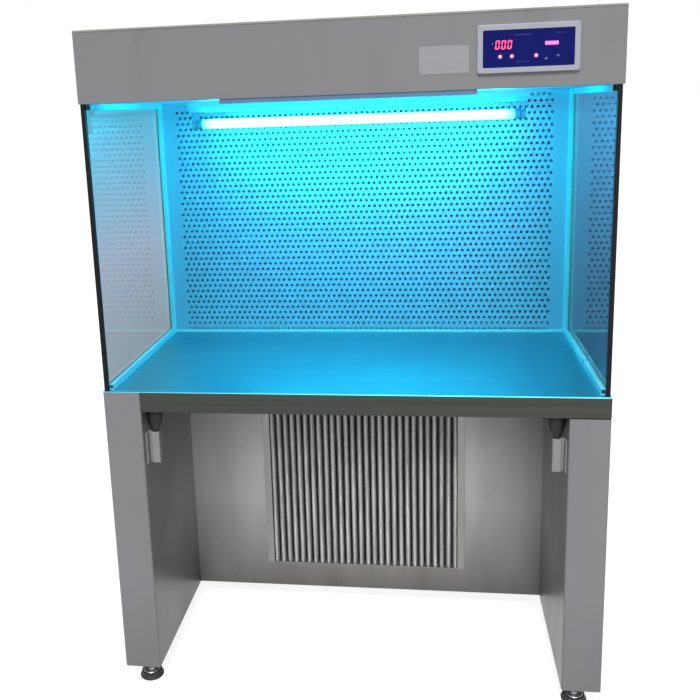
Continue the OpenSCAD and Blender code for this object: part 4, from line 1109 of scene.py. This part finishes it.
keptNodes = {
    greyCoat: ["blower_deck"],
    chamberLampLitEnamel: ["filter_seat"],
    paleEnamel: ["lamp_ballast"],
    zincSteel: ["filter_clamps", "blower_housing", "blower_wheel", "motor_shaft"],
    aluminium: ["filter_frame", "inlet_cone"],
    blackRubber: ["filter_gasket"],
    filterPaper: ["filter_media"],
    motorEnamel: ["blower_motor"],
    boardGreen: ["control_board"],
}
for material, names in keptNodes.items():
    for nodeName in names:
        for materialSlot in nodes[nodeName].material_slots:
            materialSlot.material = material
print("kept nodes given their materials")


# stage, lights and camera

stageSizes = {"floor": 600.0, "floorGlow": 0.88, "floorShade": 0.26, "bounce": 0.12, "ambient": 0.38}


def seenDirectly(tree):
    # 1 where the camera, a reflection or the glass shows the surroundings, 0 where they light a surface
    lightPath = addNode(tree, "LightPath")
    seen = calculate(tree, "MAXIMUM", lightPath.outputs["Is Camera Ray"],
                     calculate(tree, "MAXIMUM", lightPath.outputs["Is Glossy Ray"],
                               lightPath.outputs["Is Transmission Ray"]))
    notLighting = calculate(tree, "LESS_THAN", lightPath.outputs["Diffuse Depth"], 0.5)
    return times(tree, seen, notLighting)


def evenGrey(level):
    return (level, level, level, 1)


def makeFloor():
    floor = newMesh(bpy.ops.mesh.primitive_plane_add, size=stageSizes["floor"])
    floor.name = "studioFloor"
    material = plainMaterial("studioFloor", Base_Color=evenGrey(stageSizes["bounce"]), Roughness=0.9)
    tree = material.node_tree
    glow = addNode(tree, "Emission", Strength=stageSizes["floorGlow"])
    pale = addNode(tree, "BsdfDiffuse", Color=evenGrey(stageSizes["floorShade"]))
    shown, mixed = addNode(tree, "AddShader"), addNode(tree, "MixShader")
    for source, target in ((glow.outputs[0], shown.inputs[0]), (pale.outputs[0], shown.inputs[1]),
                           (seenDirectly(tree), mixed.inputs[0]),
                           (tree.nodes["Principled BSDF"].outputs[0], mixed.inputs[1]),
                           (shown.outputs[0], mixed.inputs[2]),
                           (mixed.outputs[0], tree.nodes["Material Output"].inputs[0])):
        tree.links.new(source, target)
    floor.data.materials.append(material)


def makeWorld():
    world = bpy.data.worlds.new("studioWorld")
    bpy.context.scene.world = world
    world.use_nodes = True
    tree = world.node_tree
    background = tree.nodes["Background"]
    background.inputs["Color"].default_value = (1.0, 1.0, 1.0, 1)
    strength = ramp(tree, seenDirectly(tree), 0.0, 1.0, stageSizes["ambient"], 1.0)
    tree.links.new(strength, background.inputs["Strength"])


def addLight(name, kind, place, target, energy, **settings):
    data = bpy.data.lights.new(name, kind)
    data.energy = energy
    for key, value in settings.items():
        setattr(data, key, value)
    light = newObject(name, data)
    light.location = place
    light.rotation_euler = (Vector(target) - Vector(place)).to_track_quat("-Z", "Y").to_euler()
    light.visible_camera = False
    light.visible_transmission = False  # the panes show the plain background instead
    return light


makeFloor()
makeWorld()
addLight("highSoftLight", "SUN", (0.0, -3.0, 5.0), (0, 0, 0.8), 2.25, angle=math.radians(18))
addLight("frontFill", "AREA", (1.0, -4.2, 1.2), (0, 0, 0.7), 15, shape="RECTANGLE", size=2.4, size_y=1.6)
kneeFill = addLight("kneeFill", "AREA", (0, -0.42, 0.34), (0, 0.05, 0.34), 0.9, shape="RECTANGLE", size=0.8,
                    size_y=0.06, spread=math.radians(100))
addLight("rearLight", "AREA", (0.8, 3.4, 3.0), (0, 0, 1.0), 50, shape="RECTANGLE", size=2.4, size_y=1.6)
lampWash = addLight("lampWash", "AREA", (0, -0.33, 1.43), (0, 0.2, 1.46), 5, shape="RECTANGLE", size=1.08,
                    size_y=0.05, color=(0.0, 0.84, 1.0))
for hidden in (lampWash, kneeFill):
    hidden.visible_glossy = False

cameraFit = {"sensor_width": 36.0, "lens": 44.785, "shift_x": 0.0698, "shift_y": -0.0836}
cameraData = bpy.data.cameras.new("frontCamera")
for key, value in cameraFit.items():
    setattr(cameraData, key, value)
camera = newObject("frontCamera", cameraData)
camera.location = (0.1921, -2.4236, 1.5219)
camera.rotation_euler = [math.radians(angle) for angle in (78.028, 2.021, 7.906)]
bpy.context.scene.camera = camera
bpy.context.scene.view_settings.view_transform = "Standard"
print("stage ready")
